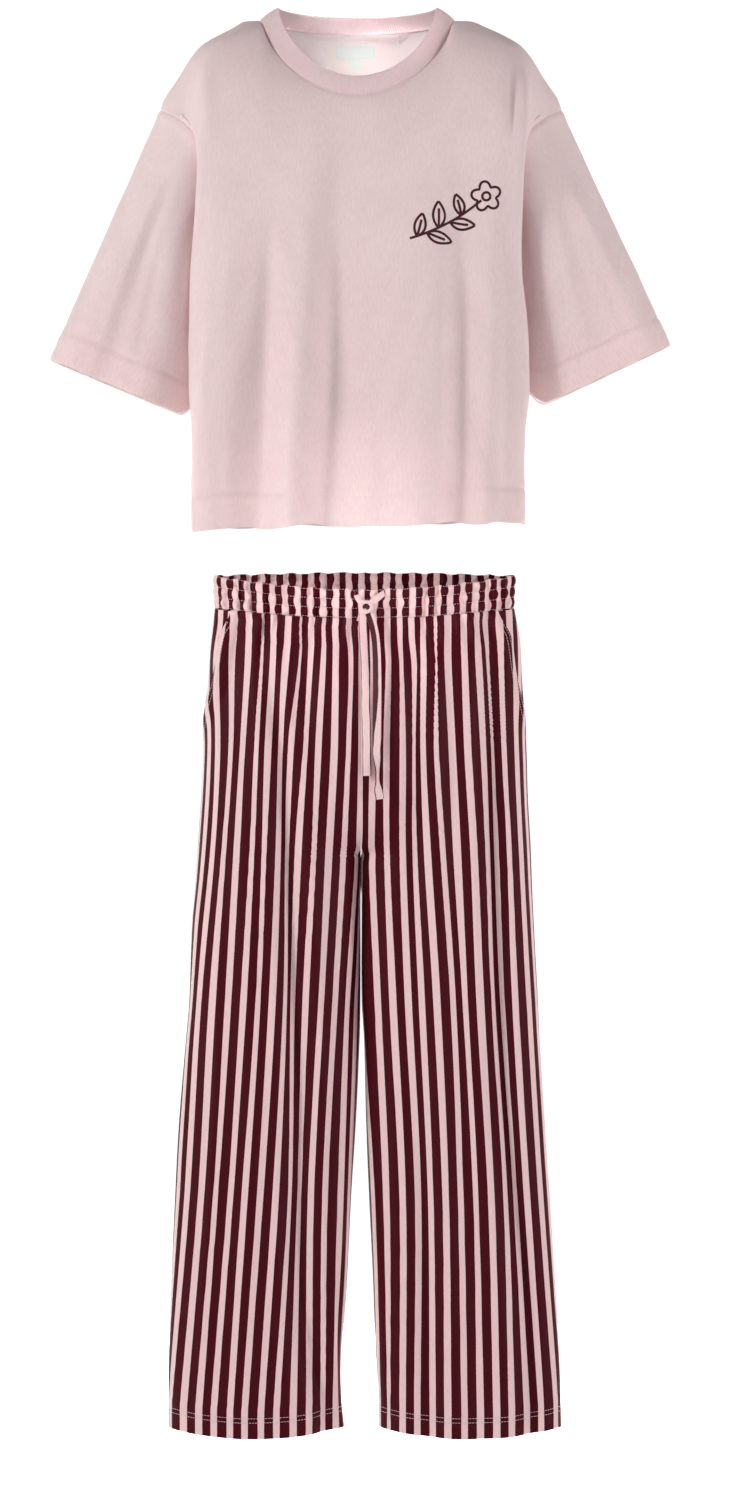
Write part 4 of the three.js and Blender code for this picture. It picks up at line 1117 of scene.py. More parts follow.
def leg_folds(folds, x, z):
    height = 0
    for places, heights, wide in folds:
        middle, high = look_up(np.stack([FOLD_Z, places, heights], 1), z)[0]
        height = height + high * bell(x - middle, wide)
    return height


def gap_slant(z):
    return 0.07 * ease(-973, -992, z) * (1 - ease(-1150, -1230, z))


def leg_quarter(z, leg, side):
    centre, half, hip_front, hip_back, hip_exponent = look_up(HIP_SECTIONS, z)[0]
    right_out, right_in, left_in, left_out, front, back, exponent = look_up(LEG_SECTIONS, z)[0]
    drop = min(max((RISE_TOP - z) / (RISE_TOP - CROTCH), 0), 1)
    hip_at_seam = math.sqrt(1 - drop * drop)
    hip_away = 1 - ease(-840, -1085, z)
    inner, outer = (left_in, left_out) if leg > 0 else (right_in, right_out)
    middle, wide = (inner + outer) / 2, abs(outer - inner) / 2
    depth, hip_depth = (front, hip_front) if side < 0 else (back, hip_back)
    share = np.linspace(0, 1, 121)
    quarter, turn = share * math.pi / 2, share * math.pi
    hip_x = leg * ((half + leg * centre) * np.sin(quarter) ** (2 / hip_exponent) - 0.05)
    hip_y = side * hip_depth * np.cos(quarter).clip(0) ** (2 / hip_exponent)
    leg_y = side * depth * np.abs(np.sin(turn)) ** (2 / exponent)
    slanted = gap_slant(z) * leg_y * (1 - ease(0, 0.6, share))
    leg_x = middle - leg * wide * power(np.cos(turn), 2 / exponent) + slanted
    on_hip, on_leg = np.stack([hip_x, hip_y], 1), np.stack([leg_x, leg_y], 1)
    part = hip_at_seam + (hip_away - hip_at_seam) * ease(0, 0.42, share)
    return blend(on_leg, on_hip, part[:, None])


def waist_sag(x, y, z):
    """The waist hangs lower in the middle of the front than at the sides, and its back stands a
    little higher."""
    across = np.maximum(1 - ((x - WAIST["middle"]) / 178) ** 2, 0) * ease(0, 14, np.abs(y))
    lower = ease(WAIST["top_z"], WAIST["top_z"] - WAIST["height"], z)
    drop = WAIST["top_drop"] + (WAIST["bottom_drop"] - WAIST["top_drop"]) * lower
    return np.where(y < 0, -drop, WAIST["back_rise"]) * across * (1 - ease(-700, -800, z))


def length_of(line):
    return run_of(line)[-1]


def pocket_share(z, length):
    gone = ease(0, 1, (POCKET_TOP - z) / (POCKET_TOP - POCKET_END)) ** 4
    return 1 - (0 if z < POCKET_END else (1 - gone) * POCKET_WIDTH / length)


def even_reach(z, length, leg, side, columns):
    share = np.linspace(0, 1, columns + 1)
    if z >= RISE_TOP or z <= CALM:
        return share
    ends = [length_of(leg_quarter(level, leg, side)) for level in (RISE_TOP, CALM)]
    usual = ends[0] + (ends[1] - ends[0]) * ease(RISE_TOP, CALM, z)
    from_side = (1 - share) * usual + (length - usual) * np.maximum(1 - share / 0.45, 0) ** 2
    return 1 - from_side / length


def level_normals(row, turn, in_leg):
    tangent = np.gradient(row[:, :2], axis=0)
    normals = unit(np.stack([turn * tangent[:, 1], -turn * tangent[:, 0], 0 * tangent[:, 0]], 1))
    middle = len(row) // 2
    normals[middle - 1] = normals[middle] = [turn, 0, 0]
    if in_leg:
        normals[0] = normals[-1] = [-turn, 0, 0]
    return normals


def keep_beside(leg, row, z):
    middle = gap_slant(z) * row[:, 1]
    # the inner edges hang together for a little below the crotch
    if z < CROTCH + 1:
        near = bell(np.abs(row[:, 0] - middle), 7.0) * (1 - ease(-1006, -1024, z))
        row[:, 0] = row[:, 0] - leg * min(5.0, (leg * (row[:, 0] - middle)).min()) * near
    least = 0.3 * ease(-990, -1010, z) - 0.05
    row[:, 0] = middle + leg * np.maximum(leg * (row[:, 0] - middle), least)
    return row


# Where the dark stripes pass at heights down each leg: the height, then the x of both edges of every stripe
STRIPES = {
    -1: [
        [-703, -157, -153, -144, -134, -127, -115, -113, -105, -98, -88, -81, -71, -69, -61, -54,
         -45, -41, -33, -26, -17, -11, -3],
        [-747, -165, -154, -147, -135, -128, -117, -114, -106, -99, -92, -84, -72, -70, -62, -56,
         -47, -41, -33, -26, -14, -9, -3],
        [-852, -164, -154, -149, -141, -135, -124, -119, -112, -104, -96, -91, -85, -78, -67,
         -62, -53, -46, -35, -27, -17, -12, -3],
        [-968, -170, -162, -157, -148, -141, -129, -124, -115, -110, -99, -93, -88, -84, -77,
         -69, -57, -52, -41, -33, -23, -17, -6],
        [-1142, -186, -177, -169, -158, -151, -140, -133, -122, -117, -107, -99, -90, -86, -82,
         -77, -68, -61, -49, -43, -33, -27, -18],
        [-1374, -200, -190, -183, -172, -167, -155, -149, -139, -132, -121, -114, -103, -96, -85,
         -81, -74, -70, -62, -55, -45, -39, -27],
        [-1612, -221, -211, -203, -193, -185, -175, -168, -156, -149, -139, -132, -120, -113,
         -102, -95, -83, -75, -64, -57, -47, -42, -33],
    ],
    1: [
        [-703, 3, 10, 18, 27, 34, 42, 48, 55, 62, 69, 75, 85, 88, 97, 105, 116, 123, 132, 138,
         142, 148, 157, 166, 175],
        [-747, 3, 11, 17, 29, 35, 45, 49, 59, 65, 69, 76, 87, 88, 97, 105, 117, 124, 133, 141,
         146, 149, 160, 166, 177],
        [-852, 2, 10, 18, 26, 33, 45, 52, 60, 63, 69, 75, 85, 90, 102, 110, 120, 128, 139, 146,
         152, 154, 164, 169, 179],
        [-968, 2, 9, 16, 27, 33, 45, 52, 60, 65, 73, 81, 92, 98, 107, 116, 127, 135, 145, 150,
         155, 160, 170, 175, 184],
        [-1142, 2, 16, 23, 33, 41, 51, 59, 67, 74, 84, 92, 104, 110, 118, 124, 134, 143, 152,
         156, 162, 167, 176, 183, 193],
        [-1374, 16, 26, 33, 45, 52, 63, 70, 78, 84, 95, 102, 113, 119, 131, 136, 148, 155, 166,
         171, 178, 182, 190, 197, 207],
        [-1612, 23, 31, 34, 45, 52, 62, 69, 80, 87, 97, 105, 117, 124, 135, 143, 154, 162, 172,
         179, 190, 197, 207, 213, 225],
    ],
}


def stripe_places(grid, levels, leg):
    """Across the cut of each point, so that the dark stripes pass where the table has them. Beyond the outermost
    ones the cloth runs on evenly."""
    rightwards = grid[0, -1, 0] > grid[0, 0, 0]
    if not rightwards:
        grid = grid[:, ::-1]
    run = row_run(grid)
    edges = look_up(STRIPES[leg], levels)
    on_cut = (np.arange(edges.shape[1]) // 2 + DARK_SHARE * (np.arange(edges.shape[1]) % 2)) * STRIPE
    at = np.zeros(edges.shape)
    for r in range(len(grid)):
        x = np.maximum.accumulate(grid[r, :, 0]) + np.arange(grid.shape[1]) * 1e-4
        x = np.concatenate([[x[0] - 100], x, [x[-1] + 100]])
        at[r] = np.interp(edges[r], x, np.concatenate([[-115], run[r], [run[r, -1] + 115]]))
    fixed = np.array([np.interp(100 * leg, np.maximum.accumulate(grid[r, :, 0]), run[r])
        for r in range(len(grid))])
    at = at - fixed[:, None]
    kernel = np.array([1, 2, 3, 4, 3, 2, 1]) / 16
    padded = np.pad(at, ((3, 3), (0, 0)), mode="edge")
    at = sum(weight * padded[k : k + len(at)] for k, weight in enumerate(kernel)) + fixed[:, None]
    places = [np.interp(run[r], np.maximum.accumulate(at[r]), on_cut) for r in range(len(grid))]
    beyond = 0.87
    before = np.minimum(run - at[:, :1], 0) / beyond
    after = np.maximum(run - at[:, -1:], 0) / beyond
    places = np.array(places) + before + after
    return places if rightwards else places[:, ::-1]


def pleats(leg, side):
    """Uneven small pleats below the waistband: x, height, width and where each one ends."""
    draw = np.random.RandomState(60 + 3 * leg + side)
    found = []
    x = 12.0
    while x < 160:
        found.append((leg * x, draw.uniform(-4.6, -2.2), draw.uniform(4.5, 7.5), draw.uniform(-730, -815)))
        x += draw.uniform(15, 26)
    return found


def pleat_height(found, x, z):
    height = 0 * x
    for middle, high, wide, stop in found:
        lean = middle * 0.04 * (-686 - z) / 100
        height = height + high * bell(x - middle - lean, wide) * ease(stop, -700, z) * ease(-686, -698, z)
    return height


# Narrow soft creases down the legs: the fold's x at the same heights, its heights there, and its width
CREASES = {
    -1: [
        ([-170, -168, -166, -166, -166, -170, -176, -184, -190], [1.2, 1.6, 1.6, 1.5, 1.5, 1.8, 2.0, 1.8,
            1.4], 6),
        ([-128, -126, -116, -110, -104, -100, -100, -96, -84], [1.5, 2, 2.4, 2.6, 2.8, 2.6, 2.4, 2.2, 1.6],
            6),
        ([-80, -82, -80, -74, -66, -58, -56, -54, -48], [1.8, 2.2, 1.6, -1.5, -1.8, -1.8, -1.6, -1.5, -1.2],
            6),
        ([-34, -34, -32, -26, -24, -20, -22, -30, -34], [-2, -2.4, -1.8, -1.5, 1.2, 1.6, 1.8, 1.8, 1.4], 6),
        ([24, 28, 30, 32, 34, 36, 40, 44, 48], [-2, -2.2, -1.8, 1.4, 1.8, 2, 2.2, 2.0, 1.6], 7),
        ([46, 46, 46, 44, 44, 48, 54, 60, 62], [1.8, 2.2, 2.0, 1.8, 1.6, 1.4, 2, 2.2, 1.8], 6),
        ([106, 106, 106, 108, 112, 118, 126, 134, 140], [-2, -2.4, -2.2, -2, -1.8, -1.8, -2, -2, -1.6], 7),
        ([168, 170, 172, 174, 178, 186, 196, 208, 216], [1.4, 1.6, 1.8, 2, 2.2, 2, 1.8, 1.6, 1.2], 6),
    ],
    1: [
        ([-160, -160, -158, -156, -156, -160, -166, -174, -180], [1.6, 2, 2, 2, 2, 2.2, 2, 1.8, 1.4], 7),
        ([-100, -98, -94, -90, -88, -88, -92, -96, -98], [-2, -2.2, -2, -1.8, -2, -2.2, -2, -1.8, -1.4], 7),
        ([-30, -32, -34, -34, -36, -34, -34, -36, -38], [-2, -2.2, -2.4, -2, -2.4, -2, -2.2, -1.8, -1.4], 8),
        ([34, 34, 34, 36, 38, 40, 42, 42, 44], [-2, -2.4, -2.2, -2, -2, -2.2, -2, -1.8, -1.6], 7),
        ([88, 88, 86, 86, 86, 90, 96, 102, 106], [1.8, 2, 2.2, 2, 1.8, 2, 2.2, 2, 1.6], 7),
        ([150, 150, 148, 146, 148, 152, 158, 166, 172], [1.6, 1.8, 2.2, 2.4, 2.2, 2, 2, 1.8, 1.4], 7),
    ],
}


def wave_turn(share, leg, side):
    """The turn of the waist's gathers at a share of the way from the centre seam to the side seam."""
    x = share * WAVES / 4
    uneven = 0.16 * np.sin(x * 2.3 + 1.7 * leg + side) + 0.1 * np.sin(x * 5.1 + leg - 0.6 * side)
    ends = np.sin(math.pi * np.clip(share, 0, 1)) ** 0.5
    return 2 * math.pi * (x + uneven * ends)


def gather_strength(share, leg, side):
    x = share * WAVES / 4
    return 0.8 + 0.25 * np.sin(x * 1.3 + leg * 2 + side) + 0.15 * np.sin(x * 3.7 + side)


def trouser_leg(leg, name):
    columns = LEG_COLUMNS * LEG_FINE
    c = np.linspace(0, LEG_COLUMNS, columns + 1)
    calm = ease(0, 2, np.minimum(c, LEG_COLUMNS - c))
    share = c / LEG_COLUMNS
    top, bottom = -686, HEM_Z
    steps = np.linspace(0, 1, LEG_ROWS + 1)
    # rows stand closer together at the waist
    levels = top + (bottom - top) * (0.82 * steps + 0.18 * steps**2)
    levels = np.concatenate([levels[levels > -1606], np.linspace(-1607, HEM_Z, 25)])
    folded = {side: pleats(leg, side) for side in (-1, 1)}
    middle = 127 if leg > 0 else -124
    outer, inner = [], []
    for z in levels:
        in_leg = z < CROTCH + 1
        halves = []
        for side in (-1, 1):
            line = leg_quarter(z, leg, side)
            length = length_of(line)
            reach = pocket_share(z, length) if side < 0 else 1
            row2 = resample(line, even_reach(z, length, leg, side, columns) * reach)
            across = np.minimum(np.abs(row2[:, 0] - middle) / 104, 1)
            dip = HEM_DIP * (1 - across**2) * ease(-1450, HEM_Z, z)
            row = np.column_stack([row2, z + waist_sag(row2[:, 0], row2[:, 1], z) - dip])
            gather = 2.2 * (1 - ease(-690, -800, z))
            wave = gather * 0.6 * np.cos(c * math.pi * 0.5 + 0.4) * ease(-686, -715, z)
            fine = 1.9 * (1 - ease(-690, GATHER_FADE, z)) * gather_strength(share, leg, side)
            wave = wave + fine * np.cos(wave_turn(share * reach, leg, side))
            x = row[:, 0]
            height = (leg_folds(FOLDS[side], x, z) + leg_folds(CREASES[side], x, z) + wave) * calm
            height = height + (rumple(x + 500, -z, 55, 40 + side) * 0.8 + pleat_height(folded[side], x,
                z)) * calm
            if side < 0:
                gape = 5.5 * ease(-690, -718, z) * (1 - ease(-785, -842, z))
                height = height + gape * ease(LEG_COLUMNS - 2.4, LEG_COLUMNS, c)
            from_seam = run_of(row2)
            height = height - 1.1 * ease(-900, -862, z) * bell(from_seam, 2.2)
            if side > 0 or z < POCKET_END:
                height = height - 0.9 * bell(from_seam[-1] - from_seam, 2.2)
            halves.append((row, height))
        front, back = halves
        row = np.concatenate([front[0], back[0][::-1]])
        height = np.concatenate([front[1], back[1][::-1]])
        normals = level_normals(row, leg, in_leg)
        row = row + normals * height[:, None]
        smooth = level_normals(row, leg, in_leg)
        outer.append(keep_beside(leg, row.copy(), z))
        inner.append(keep_beside(leg, row - smooth * TWILL * 0.75, z))
    outer, inner = np.array(outer), np.array(inner)
    half = columns + 1
    made = []
    for k, side in enumerate((-1, 1)):
        pick = slice(0, half) if side < 0 else slice(half, None)
        out, into = outer[:, pick].copy(), inner[:, pick].copy()
        seam_column, inner_column = (columns, 0) if side < 0 else (0, columns)
        legs = (levels < CROTCH + 1).astype(float)
        for g in (out, into):
            g[:, seam_column, 1] += side * SEAM * 0.6
            g[:, inner_column, 1] += side * SEAM * 0.6 * legs
        facing_out = normals_of(out, turn=leg)
        facing_out = facing_out * np.sign((facing_out[..., 1] * side).mean())
        run = column_run(out)
        up = run[-1] - run
        relief = 0.4 * ease(27, 24, up) - 0.8 * bell(up - 19, 1.7) - 0.8 * bell(up - 24,
            1.7) - 0.7 * bell(up, 2)
        out = out + facing_out * (relief * calm)[..., None]
        uv = np.stack([stripe_places(out, levels, leg), -run], 2)
        thing = shell(f"leg_{'front' if side < 0 else 'back'}_{name}_cloth", out, into, uv, [STRIPED,
            STRIPED_INSIDE_PAINTED_SHADE])
        finish_piece(thing, "striped_twill", f"leg_{'front' if side < 0 else 'back'}_{name}")
        made.append((thing, out, facing_out, run))
    return made


legs_left = trouser_leg(1, "left")
legs_right = trouser_leg(-1, "right")


def facing(leg, name):
    """The striped cloth behind a slanting pocket mouth."""
    columns = 16
    grid, into = [], []
    heights = np.linspace(-687.2, -838, 44)
    for z in heights:
        line = leg_quarter(z, leg, -1)
        length = length_of(line)
        start = pocket_share(z, length) - 7 / length
        t = np.linspace(0, 1, columns + 1)
        at = start + (0.9985 - start) * t
        row2 = resample(line, at)
        tangent = np.gradient(row2, axis=0)
        normal = unit(np.stack([leg * tangent[:, 1], -leg * tangent[:, 0]], 1))
        normal[-1] = [leg, 0]
        level = z + waist_sag(row2[:, 0], row2[:, 1], z)
        sunk = 3.2 * (1 - ease(0.45, 1, t))
        edge = np.where(t == 1, -SEAM * 0.6, 0)
        for rows, extra in ((grid, 0), (into, TWILL * 0.8)):
            place = row2 - normal * (sunk + extra)[:, None]
            rows.append(np.column_stack([place[:, 0], place[:, 1] + edge, level]))
    grid, into = np.array(grid), np.array(into)
    uv = np.stack([stripe_places(grid, heights, leg) + 6, grid[..., 2]], 2)
    thing = shell(f"pocket_facing_{name}_cloth", grid, into, uv, [STRIPED, STRIPED_INSIDE_PAINTED_SHADE])
    return finish_piece(thing, "striped_twill", f"pocket_facing_{name}")


facing(1, "left")
facing(-1, "right")


def waistband(side, name):
    """Three channels of elastic, gathered into uneven puckers."""
    columns = WAVES // 2 * 16
    rows = 36
    centre, half, front, back, exponent = HIP_SECTIONS[0][1:]
    depth = front if side < 0 else back
    turn = np.linspace(0, math.pi, 481)
    share = np.linspace(0, 1, columns + 1)
    from_centre = np.abs(share - 0.5) * 2
    leg = np.where(share < 0.5, -1, 1)
    phase = wave_turn(from_centre, leg, side)
    strength = gather_strength(from_centre, leg, side)
    calm = np.minimum(1, np.minimum(share, 1 - share) * columns / 10)
    outer, inner, lateral = [], [], []
    for t in np.linspace(0, 1, rows + 1):
        wide = WAIST["half"] + (half - WAIST["half"]) * t
        line = np.stack(
            [centre - wide * power(np.cos(turn), 2 / exponent),
                side * depth * np.sin(turn).clip(0) ** (2 / exponent)], 1
        )
        row = resample(line, share)
        tangent = np.gradient(row, axis=0)
        normal = unit(np.stack([-side * tangent[:, 1], side * tangent[:, 0]], 1))
        normal[0], normal[-1] = [-1, 0], [1, 0]
        channel = min(int(3 * t), 2)
        bow = math.sin(math.pi * (3 * t - channel))
        shifted = phase + 1.1 * np.sin(from_centre * 9 + leg + 2.3 * channel) * bow
        wave = (1.0 + 1.7 * bow**0.7) * strength * np.cos(shifted)
        small = 1.1 * bow**0.8 * np.cos(2 * shifted + 1.7 * channel + leg) * strength
        height = np.clip((wave + small + 1.5 * bow - 0.9) * calm, -3.2, 3.8)
        row = row + tangent / np.linalg.norm(tangent, axis=1, keepdims=True) * (
            0.8 * bow * np.sin(shifted + 2.0 * channel) * calm
        )[:, None]
        lateral.append(1.0 * bow * np.sin(from_centre * 31 + 2.6 * channel + leg) * calm)
        z = WAIST["top_z"] - t * WAIST["height"]
        z = z + waist_sag(row[:, 0], row[:, 1], z)
        if t < 0.2:
            z = z + 0.8 * np.cos(phase * 0.5 + 1) * (1 - t / 0.2)
        edge = np.where((share == 0) | (share == 1), side * SEAM * 0.6, 0)
        for grid, into in ((outer, 0), (inner, 1.7)):
            place = row + normal * (height - into)[:, None]
            grid.append(np.column_stack([place[:, 0], place[:, 1] + edge, z]))
    outer, inner = np.array(outer), np.array(inner)
    u = (share - 0.5) * 2 * FLAT_QUARTER + np.array(lateral)
    uv = np.stack([u, outer[..., 2]], 2)
    thing = shell(name + "_cloth", outer, inner, uv, [STRIPED, STRIPED_INSIDE_PAINTED_SHADE])
    return finish_piece(thing, "striped_twill", name), outer


waist_front, waist_front_grid = waistband(-1, "waistband_front")
waist_back, waist_back_grid = waistband(1, "waistband_back")

# The drawstring

TIE_WIDTH, TIE_THICK = 10.0, 1.8
TAILS = {
    "drawstring_tail_right": [
        [3, -57.5, -693.5],
        [2.4, -61, -704],
        [3.2, -69, -724],
        [5, -78, -760],
        [6, -82, -810],
        [7, -83, -850],
        [7, -82.5, -882],
    ],
    "drawstring_tail_left": [
        [9.6, -57.5, -693.5],
        [13.5, -62, -706],
        [17, -71, -726],
        [18.5, -80, -760],
        [18.5, -83, -832],
        [18.5, -83.5, -870],
        [19, -84, -892],
        [22, -86, -909],
    ],
}


def ribbon_parts(path, turns, width, thick, shift=0.0):
    """A flat strip along a path, turned by an angle at each point. The shift moves its stripe across it."""
    count = len(path)
    along = unit(np.gradient(path, axis=0))
    side = unit(np.cross(along, [0, -1, 0]))
    face = np.cross(side, along)
    section = np.linspace(0, 2 * math.pi, 13)[:-1] + math.pi / 12
    flat = power(np.cos(section), 0.35) / 2
    up = power(np.sin(section), 0.8) * thick / 2
    wide = np.broadcast_to(width, count)
    shift = np.broadcast_to(shift, count)
    c, s = np.cos(turns)[:, None, None], np.sin(turns)[:, None, None]
    a, b = (flat * wide[:, None])[..., None], up[None, :, None]
    curl = 2.0 * flat[None, :, None] ** 2
    grid = path[:, None] + side[:, None] * (a * c - (b + curl) * s) + face[:, None] * (a * s + (b + curl) * c)
    run = run_of(path)
    rows, columns = grid.shape[:2]
    flat_ring = np.append(flat, flat[0])
    uv = np.stack(np.broadcast_arrays(flat_ring * wide[:, None] + shift[:, None], run[:, None]), 2)
    corners, places = grid_faces(rows, columns, True)
    points = grid.reshape(-1, 3)
    uvs = uv.reshape(-1, 2)
    caps = []
    for r in (0, rows - 1):
        points = np.concatenate([points, grid[r].mean(0)[None]])
        uvs = np.concatenate([uvs, [[shift[r], run[r]]]])
        k = np.arange(columns)
        tri = np.stack([r * columns + k, r * columns + (k + 1) % columns, np.full(columns,
            len(points) - 1)], 1)
        tri_uv = np.stack([r * (columns + 1) + k, r * (columns + 1) + k + 1, np.full(columns,
            len(uvs) - 1)], 1)
        caps.append((tri[:, ::-1], tri_uv[:, ::-1]) if r else (tri, tri_uv))
    fill = -np.ones((columns, 1), int)
    corners = np.concatenate([corners, *[np.concatenate([t, fill], 1) for t, _ in caps]])
    places = np.concatenate([places, *[np.concatenate([t, fill], 1) for _, t in caps]])
    return points, corners, places, uvs, None


def tail(name, twist, shift):
    t = np.linspace(0, 1, 110)
    path = resample(smooth_line(TAILS[name], 80), t)
    thing = merged(name + "_cloth", [ribbon_parts(path, twist(t), TIE_WIDTH, TIE_THICK, shift(t))], TIE_CLOTH)
    return finish_piece(thing, "tie_cloth", name)


tail("drawstring_tail_right", lambda t: 0.22 * np.sin(t * 6), lambda t: 0 * t - 0.3)
tail(
    "drawstring_tail_left",
    lambda t: 0.35 * np.sin(t * 4 + 1) + 1.5 * ease(0.72, 0.86, t) - 0.9 * ease(0.9, 0.97, t),
    lambda t: 5.4 - 5.4 * ease(0.45, 0.75, t),
)


def knot():
    """A small ring of the tie round a middle strip given only the tie's dark colour, a painted shade in the
    knot's hollow, with a strap to each buttonhole and a folded stub below."""
    parts = []
    t = np.linspace(0, 1, 56)
    turn = 2 * math.pi * 1.06 * t + 1.9
    x = 6.0 + 6.3 * np.cos(turn)
    z = -685.6 + 5.8 * np.sin(turn)
    y = -57.4 + 1.5 * np.cos(turn + 0.6) - 2.0 * t
    parts.append(ribbon_parts(np.stack([x, y, z], 1), 0.3 * np.sin(turn), 4.0, 2.2))
    t = np.linspace(0, 1, 14)
    # the middle strip is shifted wholly onto the dark of the tie's cloth: painted shade in the knot's hollow
    middle = np.stack([2 + 8 * t, -55.4 + 0 * t, -689 + 7 * t], 1)
    parts.append(ribbon_parts(middle, 0 * t, 8.5, 1.4, 9.5))
    t = np.linspace(0, 1, 24)
    lines = [
        ([[-5.5, -49.4, -672.5], [-4.2, -51.8, -675], [-2, -53.6, -678.5], [1, -54.6, -682]], 6.0, 0.3),
        ([[26.5, -49.5, -669.5], [22, -53.4, -673], [15.5, -55.4, -678.5], [9, -56, -683.5]], 7.6, 0.6),
        ([[6.5, -56, -689], [2.5, -57, -693], [-1.2, -56, -697.5], [-4.2, -54.4, -701.5]],
            8 - 5.5 * ease(0.4, 1, t), -0.4),
    ]
    for points, width, start in lines:
        path = resample(smooth_line(points, 30), t)
        parts.append(ribbon_parts(path, start * np.cos(t * 3), width, 1.8, 0.4))
    thing = merged("drawstring_knot_cloth", parts, TIE_CLOTH)
    return finish_piece(thing, "tie_cloth", "drawstring_knot")


knot()


def buttonhole(x, z):
    """A worked slit in the waistband, in dark thread."""
    turn = np.linspace(0, 2 * math.pi, 25)
    path = np.stack([x + 2.0 * np.cos(turn), 0 * turn - 48.9, z + 6.5 * np.sin(turn)], 1)
    tree = tree_of(waist_front)
    for point in path:
        hit = tree.ray_cast(Vector((point[0] * 0.001, -0.2, point[2] * 0.001)), Vector((0, 1, 0)))[0]
        if hit is not None:
            point[1] = hit.y * 1000 - 0.3
    normals = np.broadcast_to(np.array([0.0, -1, 0]), path.shape)
    return strip_parts(path, normals, 1.5, 0.7, 0.4)


eyelets = merged("buttonholes", [buttonhole(-5.5, -672), buttonhole(25.5, -671)], DARK_THREAD)
finish_piece(eyelets, "striped_twill")

# The print on the chest: a drawn sprig with a small flower


def leaf(root, angle, length, wide, bend=0.0):
    """Both edges and the rib of a leaf, as lines on the print."""
    t = np.linspace(0, 1, 16)
    lines = []
    for side in (1, -1):
        across = side * wide * np.sin(math.pi * t) ** 0.8 * (1 - 0.25 * t) + bend * t * t
        lines.append(np.stack([length * t, across], 1))
    t = t[: len(t) - 4]
    lines.append(np.stack([length * t, bend * t * t], 1))
    c, s = math.cos(angle), math.sin(angle)
    return [np.stack([root[0] + p[:, 0] * c - p[:, 1] * s, root[1] + p[:, 0] * s + p[:, 1] * c], 1)
        for p in lines]


def sprig():
    t = np.linspace(0, 1, 30)
    stem = np.stack([-46 + 74 * t, -26 + 20 * t + 20 * t**2], 1)
    lines = [stem]
    for at, turn, length, wide in (
        (0.1, 1.25, 24, 6.5),
        (0.24, -0.42, 27, 6.5),
        (0.4, 1.5, 27, 7),
        (0.56, -0.2, 26, 6.5),
        (0.72, 1.75, 22, 6),
    ):
        root = [np.interp(at, t, stem[:, 0]), np.interp(at, t, stem[:, 1])]
        lines += leaf(root, turn, length, wide, 2.0)
    middle = np.array([33, 18])
    turn = np.linspace(0, 2 * math.pi, 22)
    lines.append(middle + 4.2 * np.stack([np.cos(turn), np.sin(turn)], 1))
    turn = np.linspace(0, 2 * math.pi, 90)
    radius = 9.5 + 6 * np.abs(np.sin(2.5 * turn + 0.4))
    lines.append(middle + radius[:, None] * np.stack([np.cos(turn), np.sin(turn)], 1))
    return lines


def on_chest(line, centre):
    """A drawn line laid on the front of the tee, with the cloth's direction at each point."""
    length = run_of(line)[-1]
    flat = resample(line * 1.12, np.linspace(0, 1, max(int(length / 1.6), 6)))
    path, normals = [], []
    for x, z in flat:
        start = Vector(((centre[0] + x) * 0.001, -0.3, (centre[1] + z) * 0.001))
        hit, normal, _, _ = front_tree.ray_cast(start, Vector((0, 1, 0)))
        path.append(np.array(hit) * 1000)
        normals.append(np.array(normal) * (-1 if normal.y > 0 else 1))
    return np.array(path), unit(np.array(normals))


front_tree = tree_of(tee_front)
PRINT_CENTRE = (108, -232)
drawn = [on_chest(line, PRINT_CENTRE) for line in sprig()]
chest_print = merged("chest_print", [strip_parts(path, up, 2.9, 0.22, 0.5) for path, up in drawn], PRINT_INK)
finish_piece(chest_print, "jersey")

# Stitching


def rows_of_stitches(name, slot, cloth, lines, pitch=3.2, thread=0.55):
    parts = [stitch_parts(line, up, pitch, thread) for line, up in lines]
    return finish_piece(merged(name, parts, cloth), slot)


def closing(line):
    return np.concatenate([line, line[:1]])


lines = []
for grid, normals in ((tee_front_grid, tee_front_normals), (tee_back_grid, tee_back_normals)):
    run = column_run(grid)
    for high in (TEE_HEM - 1.6, TEE_HEM + 1.6):
        lines.append(down_columns(run[-1] - run, high, grid, normals))
    first = (ARM_COLUMNS + SHOULDER_COLUMNS) * FINE
    neck = slice(first, first + 2 * NECK_COLUMNS * FINE + 1)
    lines.append(down_columns(run[:, neck], 4.5, grid[:, neck], normals[:, neck]))
for grid, normals, leg in ((sleeve_left_grid, sleeve_left_normals, 1), (sleeve_right_grid,
    sleeve_right_normals, -1)):
    run = column_run(grid)
    for high in (SLEEVE_HEM - 1.6, SLEEVE_HEM + 1.6):
        line, up = down_columns(run[-1] - run, high, grid, normals)
        lines.append((closing(line), closing(up) * np.sign((up[0] @ [leg, 0, 0]))))
rows_of_stitches("stitches_tee", "jersey", PINK_THREAD, lines)

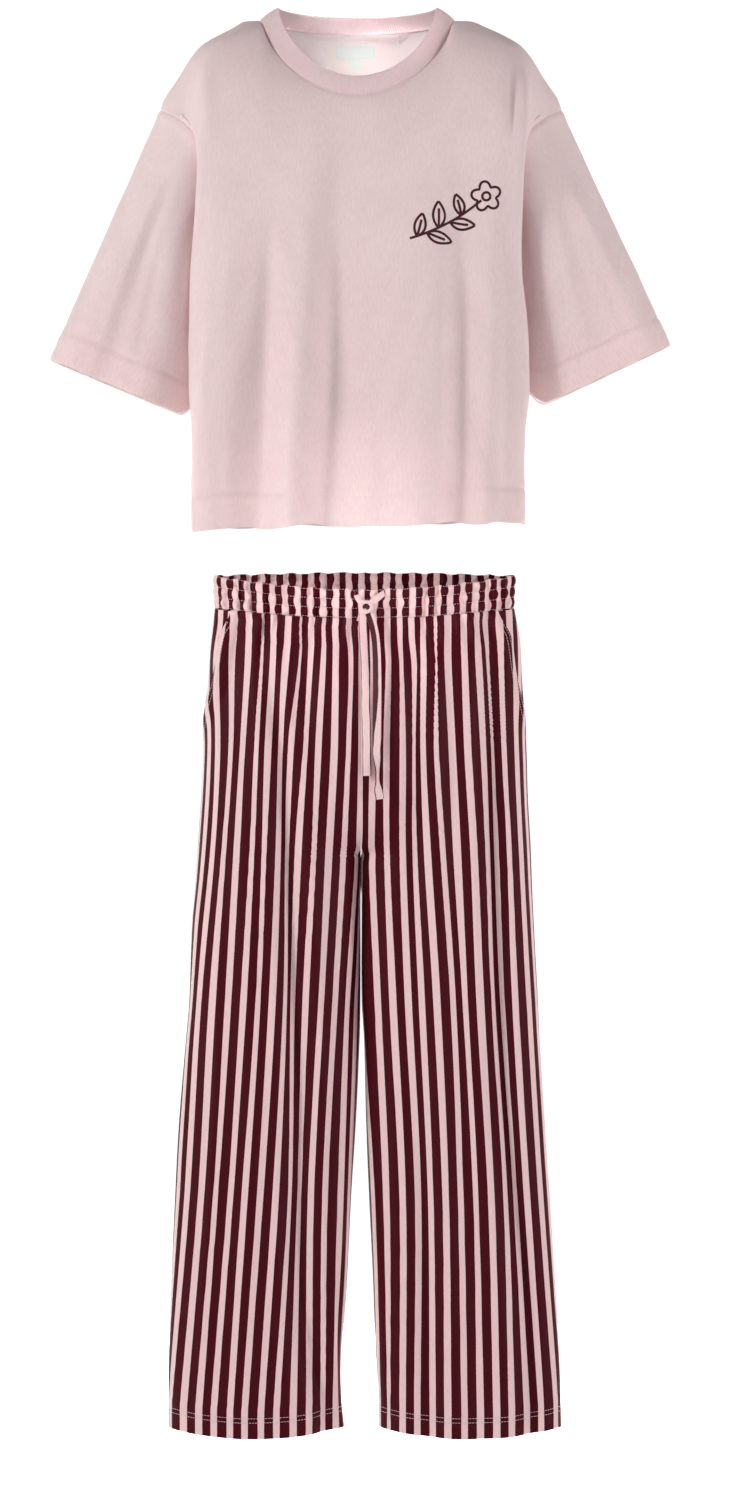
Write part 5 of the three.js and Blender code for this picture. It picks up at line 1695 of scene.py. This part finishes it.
front_of = np.array([0.0, -1.0, 0.0])
lines = []
for share in (0.18, 0.84):
    line = refine(np.arange(len(tape_grid)), tape_grid, [share * (len(tape_grid) - 1)])[0] - [0, 0.9, 0]
    lines.append((line, np.broadcast_to(front_of, line.shape)))
for grid in (label_grid, ):
    for line in (grid[1, 1:-1], grid[-2, 1:-1], grid[1:-1, 1], grid[1:-1, -2]):
        line = line - [0, 0.7, 0]
        lines.append((line, np.broadcast_to(front_of, line.shape)))
rows_of_stitches("stitches_neck", "jersey", PINK_THREAD, lines, 2.9, 0.7)

lines = []
for made in (legs_left, legs_right):
    for thing, grid, normals, run in made:
        for high in (19, 24):
            lines.append(down_columns(run[-1] - run, high, grid, normals))
rows_of_stitches("stitches_trouser_hems", "striped_twill", PINK_THREAD, lines, 3.4, 0.6)

lines = []
for made in (legs_left, legs_right):
    thing, grid, normals, run = made[0]
    rows = (grid[:, -1, 2] < -700) & (grid[:, -1, 2] > -842)
    across = row_run(grid)[rows]
    for inset in (3.0, 8.5):
        lines.append(along_rows(across[:, -1:] - across, inset, grid[rows], normals[rows]))
rows_of_stitches("stitches_pockets", "striped_twill", PINK_THREAD, lines, 3.4, 0.6)

lines = []
for grid, side in ((waist_front_grid, -1), (waist_back_grid, 1)):
    normals = normals_of(grid)
    normals = normals * np.sign((normals[..., 1] * side).mean())
    for r in (1, 12, 24, 35):
        lines.append((grid[r, 4:-4], normals[r, 4:-4]))
rows_of_stitches("stitches_waistband", "striped_twill", PINK_THREAD, lines, 3.4, 0.42)

# Floor

FLOOR_Z = -1.80
points = [(-7, -4, FLOOR_Z), (7, -4, FLOOR_Z), (7, 3.3, FLOOR_Z), (-7, 3.3, FLOOR_Z)]
faces = [(0, 1, 2, 3)]
mesh = bpy.data.meshes.new("floor")
mesh.from_pydata(points, [], faces)
floor = bpy.data.objects.new("floor", mesh)
bpy.context.scene.collection.objects.link(floor)
paper, paper_tree, paper_shader = new_material("paper")
paper_shader.inputs["Base Color"].default_value = (0.93, 0.93, 0.93, 1)
paper_shader.inputs["Roughness"].default_value = 1.0
mesh.materials.append(paper)
